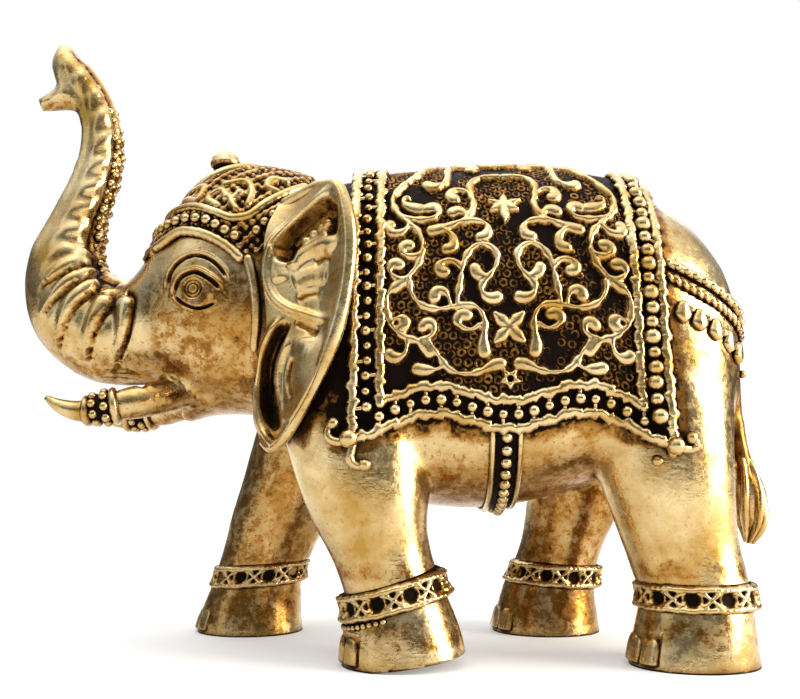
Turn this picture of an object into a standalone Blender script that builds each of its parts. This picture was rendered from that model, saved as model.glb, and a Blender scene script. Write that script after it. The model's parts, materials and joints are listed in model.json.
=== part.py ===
"""Cast brass elephant figurine with a raised trunk, a scrolled saddle cloth and a beaded headdress.

It is one casting, so the model is one solid. +Z is up, the figure faces -X and stands on z = 0.
Sizes are in millimetres and become metres as each mesh is written. The free form's stations are
millimetres on a figure 110 long, so they are shares of its length and are scaled by SHARE.
"""

import math

import bmesh
import bpy
import numpy as np
from mathutils import Matrix, Vector

MM = 0.001

# The figure
FIGURE_LENGTH = 110.0
SHARE = FIGURE_LENGTH / 110.0
FOOT_SPREAD = 12.8 * SHARE  # from the middle plane to the middle of each foot
HEEL_TILT = 8.0  # degrees that the near front sole is lifted behind its toes
HEEL_START = -3.0 * SHARE  # where that lift starts

# The saddle cloth and its relief
CLOTH_FRONT = -6.0 * SHARE
CLOTH_REAR = 36.0 * SHARE
CLOTH_THICKNESS = 1.1
HEM_LENGTH = 49.4 * SHARE  # along the body from the spine to the hem's lowest points
HEM_RISE = 2.3 * SHARE  # how far the hem arches up between them
BORDER_WIDTH = 3.6  # outer cord to inner cord, middle to middle
CORD_WIDTH = 1.0
CORD_HEIGHT = 0.8
BEAD_DIAMETER = 1.9
BEAD_PITCH = 2.6
SCROLL_WIDTH = 1.3
SCROLL_HEIGHT = 0.9
GIRTH_WIDTH = 4.4
GIRTH_OFFSET = 0.4  # how far its middle lies in front of the cloth's
CORD_INSET = CORD_WIDTH / 2 + 0.1  # from the cloth's edge to the middle of the outer cord

# Headdress, anklets and trim
BAND_WIDTH = 1.3
BAND_HEIGHT = 0.9
FINIAL_DIAMETER = 5.2
ANKLET_HEIGHT = 4.0
ANKLET_WIDTH = 1.2  # of each of its two rims
ANKLET_DEPTH = 0.9  # how far the rims stand off the ankle
ANKLET_MIDDLE = 9.0  # above the ground
ANKLET_CROSSES = 10
EAR_THICKNESS = 1.8
EAR_RIM = 2.2
EAR_FOLD_WIDTH = 1.6
EAR_FOLD_HEIGHT = 1.0
NAIL_DIAMETER = 3.4
NAIL_DEPTH = 0.7
NAIL_HEIGHT = 2.2  # above the ground
NAIL_ANGLES = (-42, 0, 42)
BEAD_HEIGHT = 0.8
CAP_BEADS = 23
PETALS = 8
PETAL_REACH = 0.62  # from the finial's middle to each petal's, as a share of its diameter
TUSK_BAND = 1.0
EYE_DIAMETER = 3.4
LID_WIDTH = 0.9
LID_HEIGHT = 0.55
BEND_FOLD_WIDTH = 2.0
BEND_FOLD_SWEEP = 62  # degrees either side of the trunk's own side
UPPER_FOLD_WIDTH = 1.6
UPPER_FOLD_SWEEP = 48

# How the form is meshed
VOXEL = 0.8
RING_STEP = 2.0
SMOOTHING = 8
BODY_TRIANGLES = 2600
FIGURE_TRIANGLES = 9800
SINK = 0.8  # how deep each ornament is rooted in what carries it
DEEP_SINK = 2.4  # the same where the skin curves away below
CLOTH_COLUMNS = 15
CLOTH_ROWS = 27
SCROLL_STEP = 2.0
CORD_POINTS = 35
GIRTH_POINTS = 16
BAND_POINTS = 23
TRUNK_STRIP_POINTS = 22
FINIAL_SIDES = 10
ANKLET_SIDES = 14
EAR_ROWS = 11
EAR_COLUMNS = 6
CLOTH_MIDDLE = (CLOTH_FRONT + CLOTH_REAR) / 2

BRASS = (0.60, 0.42, 0.16, 1.0)

# Stations along X: x, top, bottom, half width, height of the widest place
TORSO = (
    (-22.0, 63.0, 36.0, 10.5, 47.0),
    (-18.0, 66.0, 30.5, 13.5, 44.0),
    (-12.0, 67.6, 25.5, 16.2, 41.0),
    (-5.0, 68.2, 22.0, 17.8, 38.5),
    (4.0, 69.2, 20.4, 18.4, 37.0),
    (14.0, 69.8, 20.0, 18.6, 36.5),
    (24.0, 69.6, 22.0, 18.6, 37.0),
    (33.0, 67.6, 25.0, 18.2, 38.0),
    (40.0, 63.6, 27.0, 16.8, 39.0),
    (45.0, 59.0, 29.0, 14.2, 40.0),
    (48.6, 53.0, 31.5, 10.0, 41.0),
    (50.4, 47.0, 35.0, 4.5, 41.5),
)
TORSO_POWER = 2.45
HEAD = (
    (-10.0, 67.0, 36.0, 12.0, 52.0),
    (-15.0, 68.4, 34.0, 13.4, 51.5),
    (-21.0, 69.4, 33.6, 13.6, 51.0),
    (-27.0, 69.0, 35.0, 13.0, 50.5),
    (-31.0, 66.6, 36.4, 12.0, 50.0),
    (-34.5, 62.6, 37.6, 10.4, 49.0),
    (-37.5, 57.0, 38.6, 8.8, 47.6),
    (-40.5, 53.4, 39.0, 7.4, 46.4),
)
HEAD_POWER = 2.2

# Stations along a limb: x, y, z, half width across, half depth in the limb's own plane
TRUNK = (
    (-33.0, 0.0, 47.0, 8.6, 8.6),
    (-38.0, 0.0, 46.4, 7.8, 7.9),
    (-43.6, 0.0, 46.6, 7.2, 7.6),
    (-48.6, 0.0, 50.2, 6.6, 7.1),
    (-50.7, 0.0, 56.0, 5.4, 5.7),
    (-49.4, 0.0, 63.0, 4.2, 3.9),
    (-47.4, 0.0, 68.6, 3.7, 3.5),
    (-46.2, 0.0, 73.6, 3.3, 3.2),
    (-46.1, 0.0, 78.4, 3.0, 3.0),
    (-47.3, 0.0, 82.6, 2.8, 2.7),
    (-50.0, 0.0, 86.6, 2.7, 2.5),
    (-52.2, 0.0, 90.0, 2.1, 1.7),
    (-52.6, 0.0, 92.6, 1.0, 0.8),
)
LOWER_FINGER = (
    (-49.0, 0.0, 84.6, 2.2, 2.0),
    (-52.6, 0.0, 83.8, 1.9, 1.5),
    (-56.0, 0.0, 82.2, 1.2, 0.9),
)
JAW = (
    (-19.0, 0.0, 38.5, 8.4, 5.2),
    (-24.5, 0.0, 37.4, 7.0, 3.9),
    (-29.0, 0.0, 35.6, 4.8, 2.4),
    (-32.0, 0.0, 33.2, 2.4, 1.1),
)
TUSK = (
    (-32.0, 8.0, 38.6, 2.4, 2.4),
    (-36.4, 9.0, 35.6, 2.1, 2.1),
    (-40.6, 9.6, 33.9, 1.8, 1.8),
    (-44.6, 9.8, 33.6, 1.4, 1.4),
    (-47.4, 9.8, 34.4, 0.9, 0.9),
    (-49.0, 9.8, 35.4, 0.4, 0.4),
)
TAIL = (
    (47.6, 0.0, 52.0, 2.2, 2.2),
    (51.0, 0.0, 44.0, 1.7, 1.7),
    (51.6, 0.0, 34.0, 1.3, 1.3),
    (52.2, 0.0, 27.0, 1.6, 1.6),
    (53.0, 0.0, 21.0, 2.2, 2.0),
    (53.2, 0.0, 17.0, 1.7, 1.5),
    (52.6, 0.0, 14.4, 0.7, 0.6),
)
# Legs: x, share of the foot's spread, z, half width across, half depth, down to below the ground
NEAR_FRONT_LEG = (
    (-6.0, 0.80, 42.0, 7.4, 11.0),
    (-5.4, 0.92, 32.0, 7.6, 10.2),
    (-3.6, 1.00, 21.4, 7.0, 8.4),
    (-1.6, 1.02, 13.6, 6.0, 6.5),
    (-0.2, 1.03, 9.0, 5.9, 6.6),
    (0.6, 1.05, 5.4, 6.5, 7.4),
    (1.2, 1.05, 0.0, 7.0, 8.4),
    (1.2, 1.05, -3.0, 7.0, 8.4),
)
FAR_FRONT_LEG = (
    (-10.0, 0.80, 42.0, 7.4, 9.6),
    (-13.6, 0.92, 32.0, 7.6, 8.8),
    (-17.2, 1.00, 22.0, 7.0, 8.0),
    (-19.9, 1.02, 15.6, 6.2, 7.2),
    (-21.8, 1.03, 9.6, 5.9, 6.8),
    (-22.6, 1.05, 5.4, 6.5, 7.4),
    (-23.4, 1.05, 0.0, 7.4, 8.5),
    (-23.4, 1.05, -3.0, 7.4, 8.5),
)
NEAR_HIND_LEG = (
    (35.4, 0.80, 44.0, 7.2, 11.6),
    (36.0, 0.92, 33.0, 7.6, 10.6),
    (37.2, 1.00, 23.0, 7.0, 8.8),
    (38.8, 1.02, 14.0, 6.0, 7.4),
    (40.0, 1.03, 9.6, 5.9, 7.2),
    (39.8, 1.05, 5.4, 6.4, 7.8),
    (39.4, 1.05, 0.0, 7.0, 8.6),
    (39.4, 1.05, -3.0, 7.0, 8.6),
)
FAR_HIND_LEG = (
    (34.0, 0.80, 44.0, 7.2, 11.0),
    (31.4, 0.92, 32.0, 7.6, 9.8),
    (28.8, 1.00, 21.0, 6.8, 7.8),
    (26.8, 1.02, 14.0, 6.0, 6.4),
    (25.6, 1.03, 9.6, 5.9, 6.6),
    (24.6, 1.05, 5.4, 6.6, 7.6),
    (24.0, 1.05, 0.0, 7.4, 8.6),
    (24.0, 1.05, -3.0, 7.4, 8.6),
)
LEGS = (
    (NEAR_FRONT_LEG, -1, 16.0),
    (FAR_FRONT_LEG, 1, 4.0),
    (NEAR_HIND_LEG, -1, 0.0),
    (FAR_HIND_LEG, 1, -4.0),
)
# The ear down its length: attached edge x, y, z, then free edge x, y, z, on its own side
EAR = (
    (-16.6, 12.0, 62.0, -11.4, 15.5, 63.4),
    (-17.6, 13.4, 58.5, -7.2, 20.0, 61.4),
    (-18.0, 13.6, 52.5, -5.6, 21.6, 54.6),
    (-17.4, 13.4, 45.6, -6.6, 21.6, 45.0),
    (-18.2, 13.4, 39.0, -9.0, 20.8, 36.4),
    (-19.0, 13.6, 33.0, -12.6, 19.2, 30.2),
    (-18.0, 14.8, 29.4, -15.0, 17.6, 28.2),
)
EAR_HOLLOW = 2.4 * SHARE  # how far the ear's middle sinks towards the head
EAR_FOLDS = ((2, 1), (4, 5), (6, 9))  # rows of the ear that each fold starts and ends at

# Half of the scrolling vine, on the cloth laid flat: x, length from the spine, heading, then arcs.
# A heading of 0 runs rearwards and 90 runs down; an arc is its length and the degrees it turns.
SCROLLS = (
    (4.4, 8.4, 126, ((7.0, 0), (3.0, -50), (4.0, -36), (1.6, 16), (2.4, 30), (3.0, 32), (2.6, 26), (1.8, 0))),
    (1.2, 29.0, 160, ((1.0, 0), (2.2, -60), (2.2, -22), (2.6, -28), (2.2, -32), (1.2, 10), (2.2, 30))),
    (4.0, 37.0, 38, ((1.4, 20), (2.6, 0), (2.4, -42), (2.4, -30), (1.8, -15), (1.6, 25))),
    (0.2, 18.2, 52, ((3.0, -42), (2.2, -16), (2.2, -110), (1.4, -100))),
    (1.9, 15.8, 215, ((1.2, -130), (1.2, -60), (1.8, -10))),
    (1.9, 20.2, 95, ((1.3, 45), (1.5, 55), (1.2, 60), (0.6, 60))),
    (3.9, 24.6, 125, ((1.5, 45), (1.6, 50), (1.3, 90), (0.9, 80))),
    (1.8, 28.5, 165, ((1.8, 45), (1.4, 45), (1.2, 80), (0.9, 80))),
    (2.0, 29.0, 98, ((2.2, -38), (2.4, -38), (2.4, -28), (2.0, -4), (1.4, 20), (1.8, 50), (2.0, 36),
                       (1.8, 0), (1.6, -20))),
    (11.0, 35.4, 130, ((1.4, 50), (1.8, 60), (1.3, 90), (0.9, 70))),
    (7.3, 32.8, 268, ((2.0, -30), (1.3, -80), (1.0, -90))),
    (8.1, 32.6, 278, ((5.8, 4), (2.6, 36), (2.4, 70), (2.2, 64), (2.0, 34), (1.8, 10), (1.0, -40),
                       (1.4, -60), (1.6, -60))),
    (12.4, 29.0, 190, ((1.2, 20), (1.2, 50))),
    (8.6, 27.4, 256, ((1.4, -60), (1.4, -40), (1.0, -80), (0.9, -70))),
    (14.7, 11.6, 182, ((1.6, -8), (2.4, -42), (2.4, -58), (2.2, 14), (2.0, 30), (2.4, 40), (3.8, 14))),
    (10.5, 16.6, 268, ((1.6, -45), (1.6, -55), (1.2, -80), (0.9, -70))),
    (9.6, 19.6, 268, ((1.3, -70), (1.1, -60))),
    (7.6, 20.9, -22, ((2.4, 18), (2.2, 34), (1.6, 80), (1.3, 60))),
    (6.4, 21.6, 22, ((1.8, 40), (1.4, 50), (1.0, 80))),
    (7.5, 10.6, 88, ((1.8, 20), (1.8, 60), (1.6, 60))),
    (3.4, 36.9, 5, ((1.4, -45), (1.2, -60), (1.1, -80), (0.8, -70))),
    (1.5, 36.6, 78, ((1.6, 30), (1.4, 65), (1.4, 60))),
    (-0.7, 34.5, -60, ((1.3, 50), (1.1, 80), (1.0, 90))),
    (6.2, 40.4, 112, ((1.0, 60), (2.6, 28))),
    (4.2, 8.7, -55, ((3.6, -20), (3.0, 60), (2.6, 70), (1.8, 90))),
    (7.5, 10.8, -92, ((3.0, 20), (2.4, 60), (2.2, 80), (1.4, 90))),
    (14.7, 6.5, 182, ((2.4, 40), (2.2, 60), (1.6, 80))),
)
# Motifs on the cloth's middle line: length from the spine, then petals as heading and length
MOTIFS = (
    (18.0, ((90, 2.6), (-90, 2.4), (205, 2.4), (-25, 2.4))),
    (35.8, ((45, 2.6), (135, 2.6), (225, 2.6), (315, 2.6))),
    (42.6, ((0, 1.0), (90, 1.0), (180, 1.0), (270, 1.0))),
    (2.6, ((45, 2.4), (135, 2.4), (225, 2.4), (315, 2.4))),
)
CORNERS = (
    (-4.6, 48.6, 160, ((2.2, 20), (2.2, 70), (1.8, 90))),
    (-5.0, 49.0, 110, ((2.2, -10), (1.8, -60), (1.4, -80))),
    (34.6, 48.6, 20, ((2.2, -20), (2.2, -70), (1.8, -90))),
    (35.0, 49.0, 70, ((2.2, 10), (1.8, 60), (1.4, 80))),
)
# Lines on the skin as x and height
CRUPPER = (
    ((36.4, 53.6), (41.0, 51.6), (46.2, 48.9), (49.2, 46.4)),
    ((36.4, 51.6), (41.0, 49.4), (46.6, 46.4), (49.4, 43.8)),
)
CRUPPER_DROPS = ((40.0, 46.6), (43.4, 45.0), (46.2, 43.2), (48.2, 41.4))
LOWER_BAND = ((-21.0, 54.4), (-24.0, 56.8), (-27.0, 58.6), (-30.0, 59.4), (-33.4, 58.8))
LOWER_CROWN = -36.8
UPPER_BAND = ((-13.5, 66.0), (-16.4, 64.0), (-19.4, 61.4), (-22.0, 60.4), (-25.0, 61.6), (-29.0, 63.4))
UPPER_CROWN = -34.2
BEAD_LINE = ((-20.4, 57.6), (-22.8, 58.4), (-25.4, 59.8), (-28.6, 61.2), (-31.4, 61.2))
BEAD_CROWN = -35.6
FINIAL_AT = -26.6
# The finial's turned profile: radius as a share of its own, and height as a share of its diameter
FINIAL_PROFILE = ((1.0, -0.19), (1.0, 0.15), (0.86, 0.27), (0.8, 0.5), (0.5, 0.73), (0.2, 0.8))
CAP_CURLS = (
    ((-28.0, 64.6), (-25.6, 66.4), (-23.0, 65.4), (-24.2, 63.6)),
    ((-20.6, 63.2), (-19.4, 65.8), (-21.6, 67.2), (-22.8, 66.2)),
    ((-16.4, 65.8), (-16.8, 67.2), (-19.0, 67.8)),
)
EAR_STRAP = ((-20.4, 55.0), (-20.6, 48.6), (-20.2, 42.4), (-19.6, 36.6))
UPPER_LID = ((-31.1, 49.6), (-29.6, 51.5), (-27.4, 52.3), (-25.6, 51.8), (-24.4, 50.5))
LOWER_LID = ((-31.1, 49.6), (-29.4, 48.3), (-27.6, 47.9), (-25.8, 48.7), (-24.4, 50.5))
BROW = ((-32.2, 51.2), (-30.6, 53.8), (-27.8, 55.2), (-25.2, 54.4), (-23.2, 52.0))
EYE = (-27.9, 50.2)
TUSK_BANDS = (0.40, 0.47, 0.58)  # shares of the tusk's length
# Shares of the trunk's length
BEND_FOLDS = np.arange(5) * 0.055 + 0.10
UPPER_FOLDS = np.arange(7) * 0.06 + 0.42
TRUNK_STRIP = (0.10, 0.94)
GROUND = ((-100.0, -50.0, -20.0), (100.0, 50.0, 0.0))


def smooth_curve(knots, values, at):
    """Values read along a cubic Hermite curve through the knots, with slopes from their neighbours."""
    slopes = np.gradient(values, knots, axis=0)
    index = np.clip(np.searchsorted(knots, at) - 1, 0, len(knots) - 2)
    step = (knots[index + 1] - knots[index])[:, None]
    t = (at - knots[index])[:, None] / step
    return (
        (2 * t**3 - 3 * t**2 + 1) * values[index]
        + (t**3 - 2 * t**2 + t) * step * slopes[index]
        + (3 * t**2 - 2 * t**3) * values[index + 1]
        + (t**3 - t**2) * step * slopes[index + 1]
    )


def resample(rows, count):
    """A smooth line through the rows' points, read at equal steps of its length."""
    rows = np.asarray(rows, float)
    knots = np.r_[0.0, np.cumsum(np.linalg.norm(np.diff(rows[:, :3], axis=0), axis=1))]
    return smooth_curve(knots, rows, np.linspace(0.0, knots[-1], count))


def unit(vectors):
    return vectors / np.linalg.norm(vectors, axis=-1, keepdims=True)


def superellipse(turn, power):
    """How far across and how far up the outline of a superellipse lies, from -1 to 1."""
    across = np.sign(np.sin(turn)) * np.abs(np.sin(turn)) ** (2 / power)
    rise = np.sign(np.cos(turn)) * np.abs(np.cos(turn)) ** (2 / power)
    return across, rise


class Form:
    """A body of superellipse sections along X. Places on its skin are found by length or by height."""

    def __init__(self, stations, power):
        rows = np.array(sorted(stations)) * SHARE
        self.x, self.values = rows[:, 0], rows[:, 1:]
        self.power = power
        self.half_outline = superellipse(np.linspace(0.0, math.pi, 241), power)

    def section(self, x):
        """Top, bottom, half width and the height of the widest place at x."""
        x = np.clip(np.atleast_1d(np.asarray(x, float)), self.x[0], self.x[-1])
        return smooth_curve(self.x, self.values, x)

    def side_line(self, row):
        """Half of one section, from the spine down: how far across, how high, and the length so far."""
        top, bottom, half, middle = row
        across, rise = self.half_outline
        y = half * across
        z = middle + np.where(rise > 0, top - middle, middle - bottom) * rise
        return y, z, np.r_[0.0, np.cumsum(np.hypot(np.diff(y), np.diff(z)))]

    def skin(self, x, along, side, measure="length"):
        """The place at x that lies a length down from the spine, or at a height, on one side."""
        x = np.clip(np.atleast_1d(np.asarray(x, float)), self.x[0], self.x[-1])
        along = np.broadcast_to(along, x.shape)
        side = np.broadcast_to(side, x.shape)
        points = np.empty((len(x), 3))
        for i, row in enumerate(self.section(x)):
            y, z, run = self.side_line(row)
            if measure == "length":
                points[i] = x[i], side[i] * np.interp(along[i], run, y), np.interp(along[i], run, z)
            else:
                points[i] = x[i], side[i] * np.interp(-along[i], -z, y), along[i]
        return points

    def length_to(self, x, height):
        """How far down the skin a height lies, from the spine."""
        y, z, run = self.side_line(self.section(x)[0])
        return float(np.interp(-height, -z, run))

    def place(self, x, along, side, lift=0.0, measure="length"):
        """Places on the skin, lifted off it, and the directions that point out of it there."""
        step = 0.2 * SHARE
        middle = self.skin(x, along, side, measure)
        ahead = self.skin(np.add(x, step), along, side, measure)
        behind = self.skin(np.subtract(x, step), along, side, measure)
        below = self.skin(x, np.add(along, step), side, measure)
        above = self.skin(x, np.subtract(along, step), side, measure)
        out = unit(np.cross(ahead - behind, below - above))
        away = middle - np.c_[middle[:, 0], np.zeros(len(middle)), self.section(middle[:, 0])[:, 3]]
        out *= np.where((out * away).sum(axis=1) < 0, -1.0, 1.0)[:, None]
        return middle + out * lift, out

    def rings(self, step, sides):
        """Closed sections along the form, for its mesh."""
        x = np.linspace(self.x[0], self.x[-1], round((self.x[-1] - self.x[0]) / (step * SHARE)) + 1)
        across, rise = superellipse(np.linspace(0.0, 2 * math.pi, sides, endpoint=False), self.power)
        top, bottom, half, middle = (column[:, None] for column in self.section(x).T)
        z = middle + np.where(rise > 0, top - middle, middle - bottom) * rise
        return np.stack((np.broadcast_to(x[:, None], z.shape), half * across, z), axis=-1)


def limb_frame(rows):
    """A limb's line and the two directions square to it: across the figure, and out in the limb's plane."""
    path = rows[:, :3]
    ahead = unit(np.gradient(path, axis=0))
    lateral = unit(np.cross(ahead, np.cross([0.0, 1.0, 0.0], ahead)))
    return path, lateral, np.cross(lateral, ahead)


def limb_rings(stations, count, sides):
    """Elliptical sections square to a limb's own line."""
    rows = resample(stations, count)
    path, lateral, outward = limb_frame(rows)
    turn = np.linspace(0.0, 2 * math.pi, sides, endpoint=False)[None, :, None]
    wide = lateral[:, None] * rows[:, 3, None, None] * np.cos(turn)
    return path[:, None] + wide + outward[:, None] * rows[:, 4, None, None] * np.sin(turn)


def limb_place(rows, share, turn):
    """Places on a limb's skin at shares of its length and at angles about it, and the way out there."""
    path, lateral, outward = limb_frame(rows)
    index = np.broadcast_to(np.asarray(share) * (len(rows) - 1), turn.shape)

    def read(field):
        return np.array([np.interp(index, np.arange(len(rows)), column) for column in field.T]).T

    centre, side, up, size = read(path), read(lateral), read(outward), read(rows[:, 3:5])
    cosine, sine = np.cos(turn)[:, None], np.sin(turn)[:, None]
    place = centre + side * size[:, :1] * cosine + up * size[:, 1:] * sine
    return place, unit(side * cosine / size[:, :1] + up * sine / size[:, 1:])


def scaled(stations, side=1):
    """A limb's stations in millimetres, on one side of the figure."""
    return np.array(stations) * SHARE * (1, side, 1, 1, 1)


def leg_stations(leg, side):
    """A leg's stations in millimetres, with the foot's spread worked in."""
    rows = np.array(leg) * SHARE
    rows[:, 1] = np.array(leg)[:, 1] * FOOT_SPREAD * side
    return rows


def walk(x, along, heading, arcs):
    """A line of arcs laid end to end: each arc is a length and the degrees it turns through."""
    points = [(x * SHARE, along * SHARE)]
    angle = math.radians(heading)
    for length, turn in arcs:
        pieces = max(1, round(length / SCROLL_STEP))
        run = length * SHARE / pieces
        bend = math.radians(turn) / pieces
        for _ in range(pieces):
            angle += bend / 2
            points.append((points[-1][0] + run * math.cos(angle), points[-1][1] + run * math.sin(angle)))
            angle += bend / 2
    return np.array(points)


def solid_mesh(name, rings):
    """One closed mesh through rings of points, capped at both ends and facing outwards."""
    work = bmesh.new()
    loops = [[work.verts.new(point * MM) for point in ring] for ring in rings]
    sides = len(loops[0])
    for first, second in zip(loops, loops[1:]):
        for i in range(sides):
            work.faces.new((first[i - 1], first[i], second[i], second[i - 1]))
    work.faces.new(loops[0])
    work.faces.new(loops[-1])
    bmesh.ops.recalc_face_normals(work, faces=work.faces)
    if work.calc_volume(signed=True) < 0:
        bmesh.ops.reverse_faces(work, faces=work.faces)
    mesh = bpy.data.meshes.new(name)
    work.to_mesh(mesh)
    work.free()
    return mesh


def ridge(path, out, width, height, taper=(1.0, 1.0), sink=SINK):
    """A three-sided ridge that runs along a path, rooted below the skin it lies on."""
    ahead = unit(np.gradient(path, axis=0))
    across = unit(np.cross(ahead, out))
    share = np.linspace(0.0, 1.0, len(path))
    scale = np.interp(share, (0.0, 0.35, 0.65, 1.0), (taper[0], 1.0, 1.0, taper[1]))[:, None]
    half = width / 2 * (height + sink) / height * scale
    left = path - across * half - out * sink
    right = path + across * half - out * sink
    crest = path + out * height * scale
    return solid_mesh("ridge", np.stack((left, right, crest), axis=1))


def bead(place, out, diameter, height, sides=5):
    """A blunt bead that stands on the skin, as a low dome of few faces."""
    first = unit(np.cross(out, (0.31, 0.17, 0.93)))
    second = np.cross(out, first)
    turn = np.linspace(0.0, 2 * math.pi, sides, endpoint=False)[:, None]
    ring = (first * np.cos(turn) + second * np.sin(turn)) * diameter / 2
    return solid_mesh("bead", np.array((place + ring - out * SINK, place + ring * 0.42 + out * height)))


def beads(places, out, diameter=BEAD_DIAMETER):
    return [bead(place, normal, diameter, BEAD_HEIGHT) for place, normal in zip(places, out)]


def gather(name, meshes, collection):
    """Several meshes as one object."""
    work = bmesh.new()
    for mesh in meshes:
        work.from_mesh(mesh)
        bpy.data.meshes.remove(mesh)
    mesh = bpy.data.meshes.new(name)
    work.to_mesh(mesh)
    work.free()
    item = bpy.data.objects.new(name, mesh)
    collection.objects.link(item)
    return item


def settle(item):
    """The object's modifiers worked into its mesh."""
    graph = bpy.context.evaluated_depsgraph_get()
    mesh = bpy.data.meshes.new_from_object(item.evaluated_get(graph))
    item.modifiers.clear()
    old = item.data
    item.data = mesh
    bpy.data.meshes.remove(old)


def set_aside(item):
    """A guide or cutter shows as wires and never renders."""
    item.hide_render = True
    item.display_type = "WIRE"
    return item


def box_cutter(name, corners, tilt, pivot, collection):
    """A box that cuts the feet, turned about the Y axis at a pivot."""
    bpy.ops.mesh.primitive_cube_add(size=1.0)
    item = bpy.context.object
    item.name = name
    low, high = np.array(corners) * MM
    about = Matrix.Translation(Vector(np.array(pivot) * MM))
    grow = Matrix.Translation(Vector((low + high) / 2)) @ Matrix.Diagonal(Vector((*(high - low), 1.0)))
    item.data.transform(about @ Matrix.Rotation(math.radians(tilt), 4, "Y") @ about.inverted() @ grow)
    for holder in list(item.users_collection):
        holder.objects.unlink(item)
    collection.objects.link(item)
    return set_aside(item)


def combine(item, other, operation):
    """The other object joined to the item, or cut out of it."""
    boolean = item.modifiers.new(other.name, "BOOLEAN")
    boolean.operation = operation
    boolean.object = other
    boolean.solver = "EXACT"
    boolean.use_self = operation == "UNION"
    settle(item)


def keep_outer_shell(item):
    """Hollows closed in between the joined pieces are filled, so that the casting is one skin."""
    work = bmesh.new()
    work.from_mesh(item.data)
    left = set(work.faces)
    shells = []
    while left:
        shell = {left.pop()}
        front = list(shell)
        while front:
            near = {face for known in front for edge in known.edges for face in edge.link_faces}
            front = list(near - shell)
            shell |= near
        left -= shell
        shells.append(shell)
    shells.sort(key=len)
    for shell in shells[:-1]:
        bmesh.ops.delete(work, geom=list(shell), context="FACES")
    bmesh.ops.delete(work, geom=[vert for vert in work.verts if not vert.link_faces], context="VERTS")
    work.to_mesh(item.data)
    work.free()


def mend(item):
    """Pinched places are cut out and closed again, until none is left."""
    work = bmesh.new()
    work.from_mesh(item.data)

    def pinched():
        places = {vert for vert in work.verts if not vert.is_manifold}
        return places | {vert for edge in work.edges if not edge.is_manifold for vert in edge.verts}

    while places := pinched():
        faces = {face for vert in places for face in vert.link_faces}
        bmesh.ops.delete(work, geom=list(faces), context="FACES")
        bmesh.ops.delete(work, geom=[edge for edge in work.edges if not edge.link_faces], context="EDGES")
        bmesh.ops.delete(work, geom=[vert for vert in work.verts if not vert.link_faces], context="VERTS")
        bmesh.ops.holes_fill(work, edges=[edge for edge in work.edges if edge.is_boundary], sides=0)
        bmesh.ops.triangulate(work, faces=work.faces)
    bmesh.ops.recalc_face_normals(work, faces=work.faces)
    work.to_mesh(item.data)
    work.free()


def thin_out(item, triangles):
    """Fewer triangles for the same form, mended where this pinches it."""
    item.data.calc_loop_triangles()
    thin = item.modifiers.new("thin", "DECIMATE")
    thin.ratio = min(1.0, triangles / len(item.data.loop_triangles))
    settle(item)
    mend(item)


def centre(item):
    """The figure moved so that its box is centred over the origin."""
    places = np.array([vert.co for vert in item.data.vertices])
    middle = (places.min(axis=0) + places.max(axis=0)) / 2
    item.data.transform(Matrix.Translation((-middle[0], -middle[1], 0.0)))


torso = Form(TORSO, TORSO_POWER)
head = Form(HEAD, HEAD_POWER)


def body(collection):
    """The animal itself: lofted forms fused into one skin."""
    meshes = [solid_mesh("torso", torso.rings(RING_STEP, 40)), solid_mesh("head", head.rings(RING_STEP, 32))]
    for leg, side, _ in LEGS:
        meshes.append(solid_mesh("leg", limb_rings(leg_stations(leg, side), 24, 24)))
    for stations in (TRUNK, LOWER_FINGER, JAW, TAIL):
        meshes.append(solid_mesh("limb", limb_rings(scaled(stations), 30, 20)))
    item = gather("elephant_figurine", meshes, collection)
    skin = item.modifiers.new("skin", "REMESH")
    skin.mode = "VOXEL"
    skin.voxel_size = VOXEL * SHARE * MM
    ease = item.modifiers.new("ease", "SMOOTH")
    ease.factor = 0.5
    ease.iterations = SMOOTHING
    settle(item)
    thin_out(item, BODY_TRIANGLES)
    return item


def over_cloth(points, side, lift=CLOTH_THICKNESS):
    """Places on the cloth laid flat, as x and the length down from the spine, put on the body."""
    signs = np.where(points[:, 1] < 0, -side, side)
    return torso.place(points[:, 0], np.abs(points[:, 1]), signs, lift)


def hem(x):
    """How far the hem lies from the spine at x: two arches between the corners and the middle."""
    share = (np.asarray(x) - CLOTH_FRONT) / (CLOTH_REAR - CLOTH_FRONT)
    return HEM_LENGTH - HEM_RISE * (1 - np.cos(4 * math.pi * share)) / 2


def cloth_slab():
    """The saddle cloth: a thick sheet that follows the body from hem to hem."""
    rings = []
    for x in np.linspace(CLOTH_FRONT, CLOTH_REAR, CLOTH_COLUMNS):
        line = np.c_[np.full(CLOTH_ROWS, x), np.linspace(-1.0, 1.0, CLOTH_ROWS) * hem(x)]
        outer, _ = over_cloth(line, -1)
        inner, _ = over_cloth(line, -1, -SINK)
        rings.append(np.concatenate((outer, inner[::-1])))
    return solid_mesh("cloth", np.array(rings))


def cord(points, side, width=CORD_WIDTH, height=CORD_HEIGHT, taper=(1.0, 1.0)):
    """A raised cord that runs over the cloth."""
    path, out = over_cloth(points, side)
    return ridge(path, out, width, height, taper)


def cross_borders():
    """Two cords and a row of beads from hem to hem over the back, in front and behind."""
    meshes = []
    for x, inward in ((CLOTH_FRONT + CORD_INSET, 1), (CLOTH_REAR - CORD_INSET, -1)):
        reach = float(hem(x)) - CORD_INSET
        for offset in (0.0, BORDER_WIDTH):
            along = np.linspace(offset - reach, reach - offset, CORD_POINTS)
            meshes.append(cord(np.c_[np.full(CORD_POINTS, x + inward * offset), along], -1))
        count = int((reach - BORDER_WIDTH / 2) / BEAD_PITCH)
        along = (np.arange(-count, count) + 0.5) * BEAD_PITCH
        meshes += beads(*over_cloth(np.c_[np.full(2 * count, x + inward * BORDER_WIDTH / 2), along], -1))
    return meshes


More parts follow.
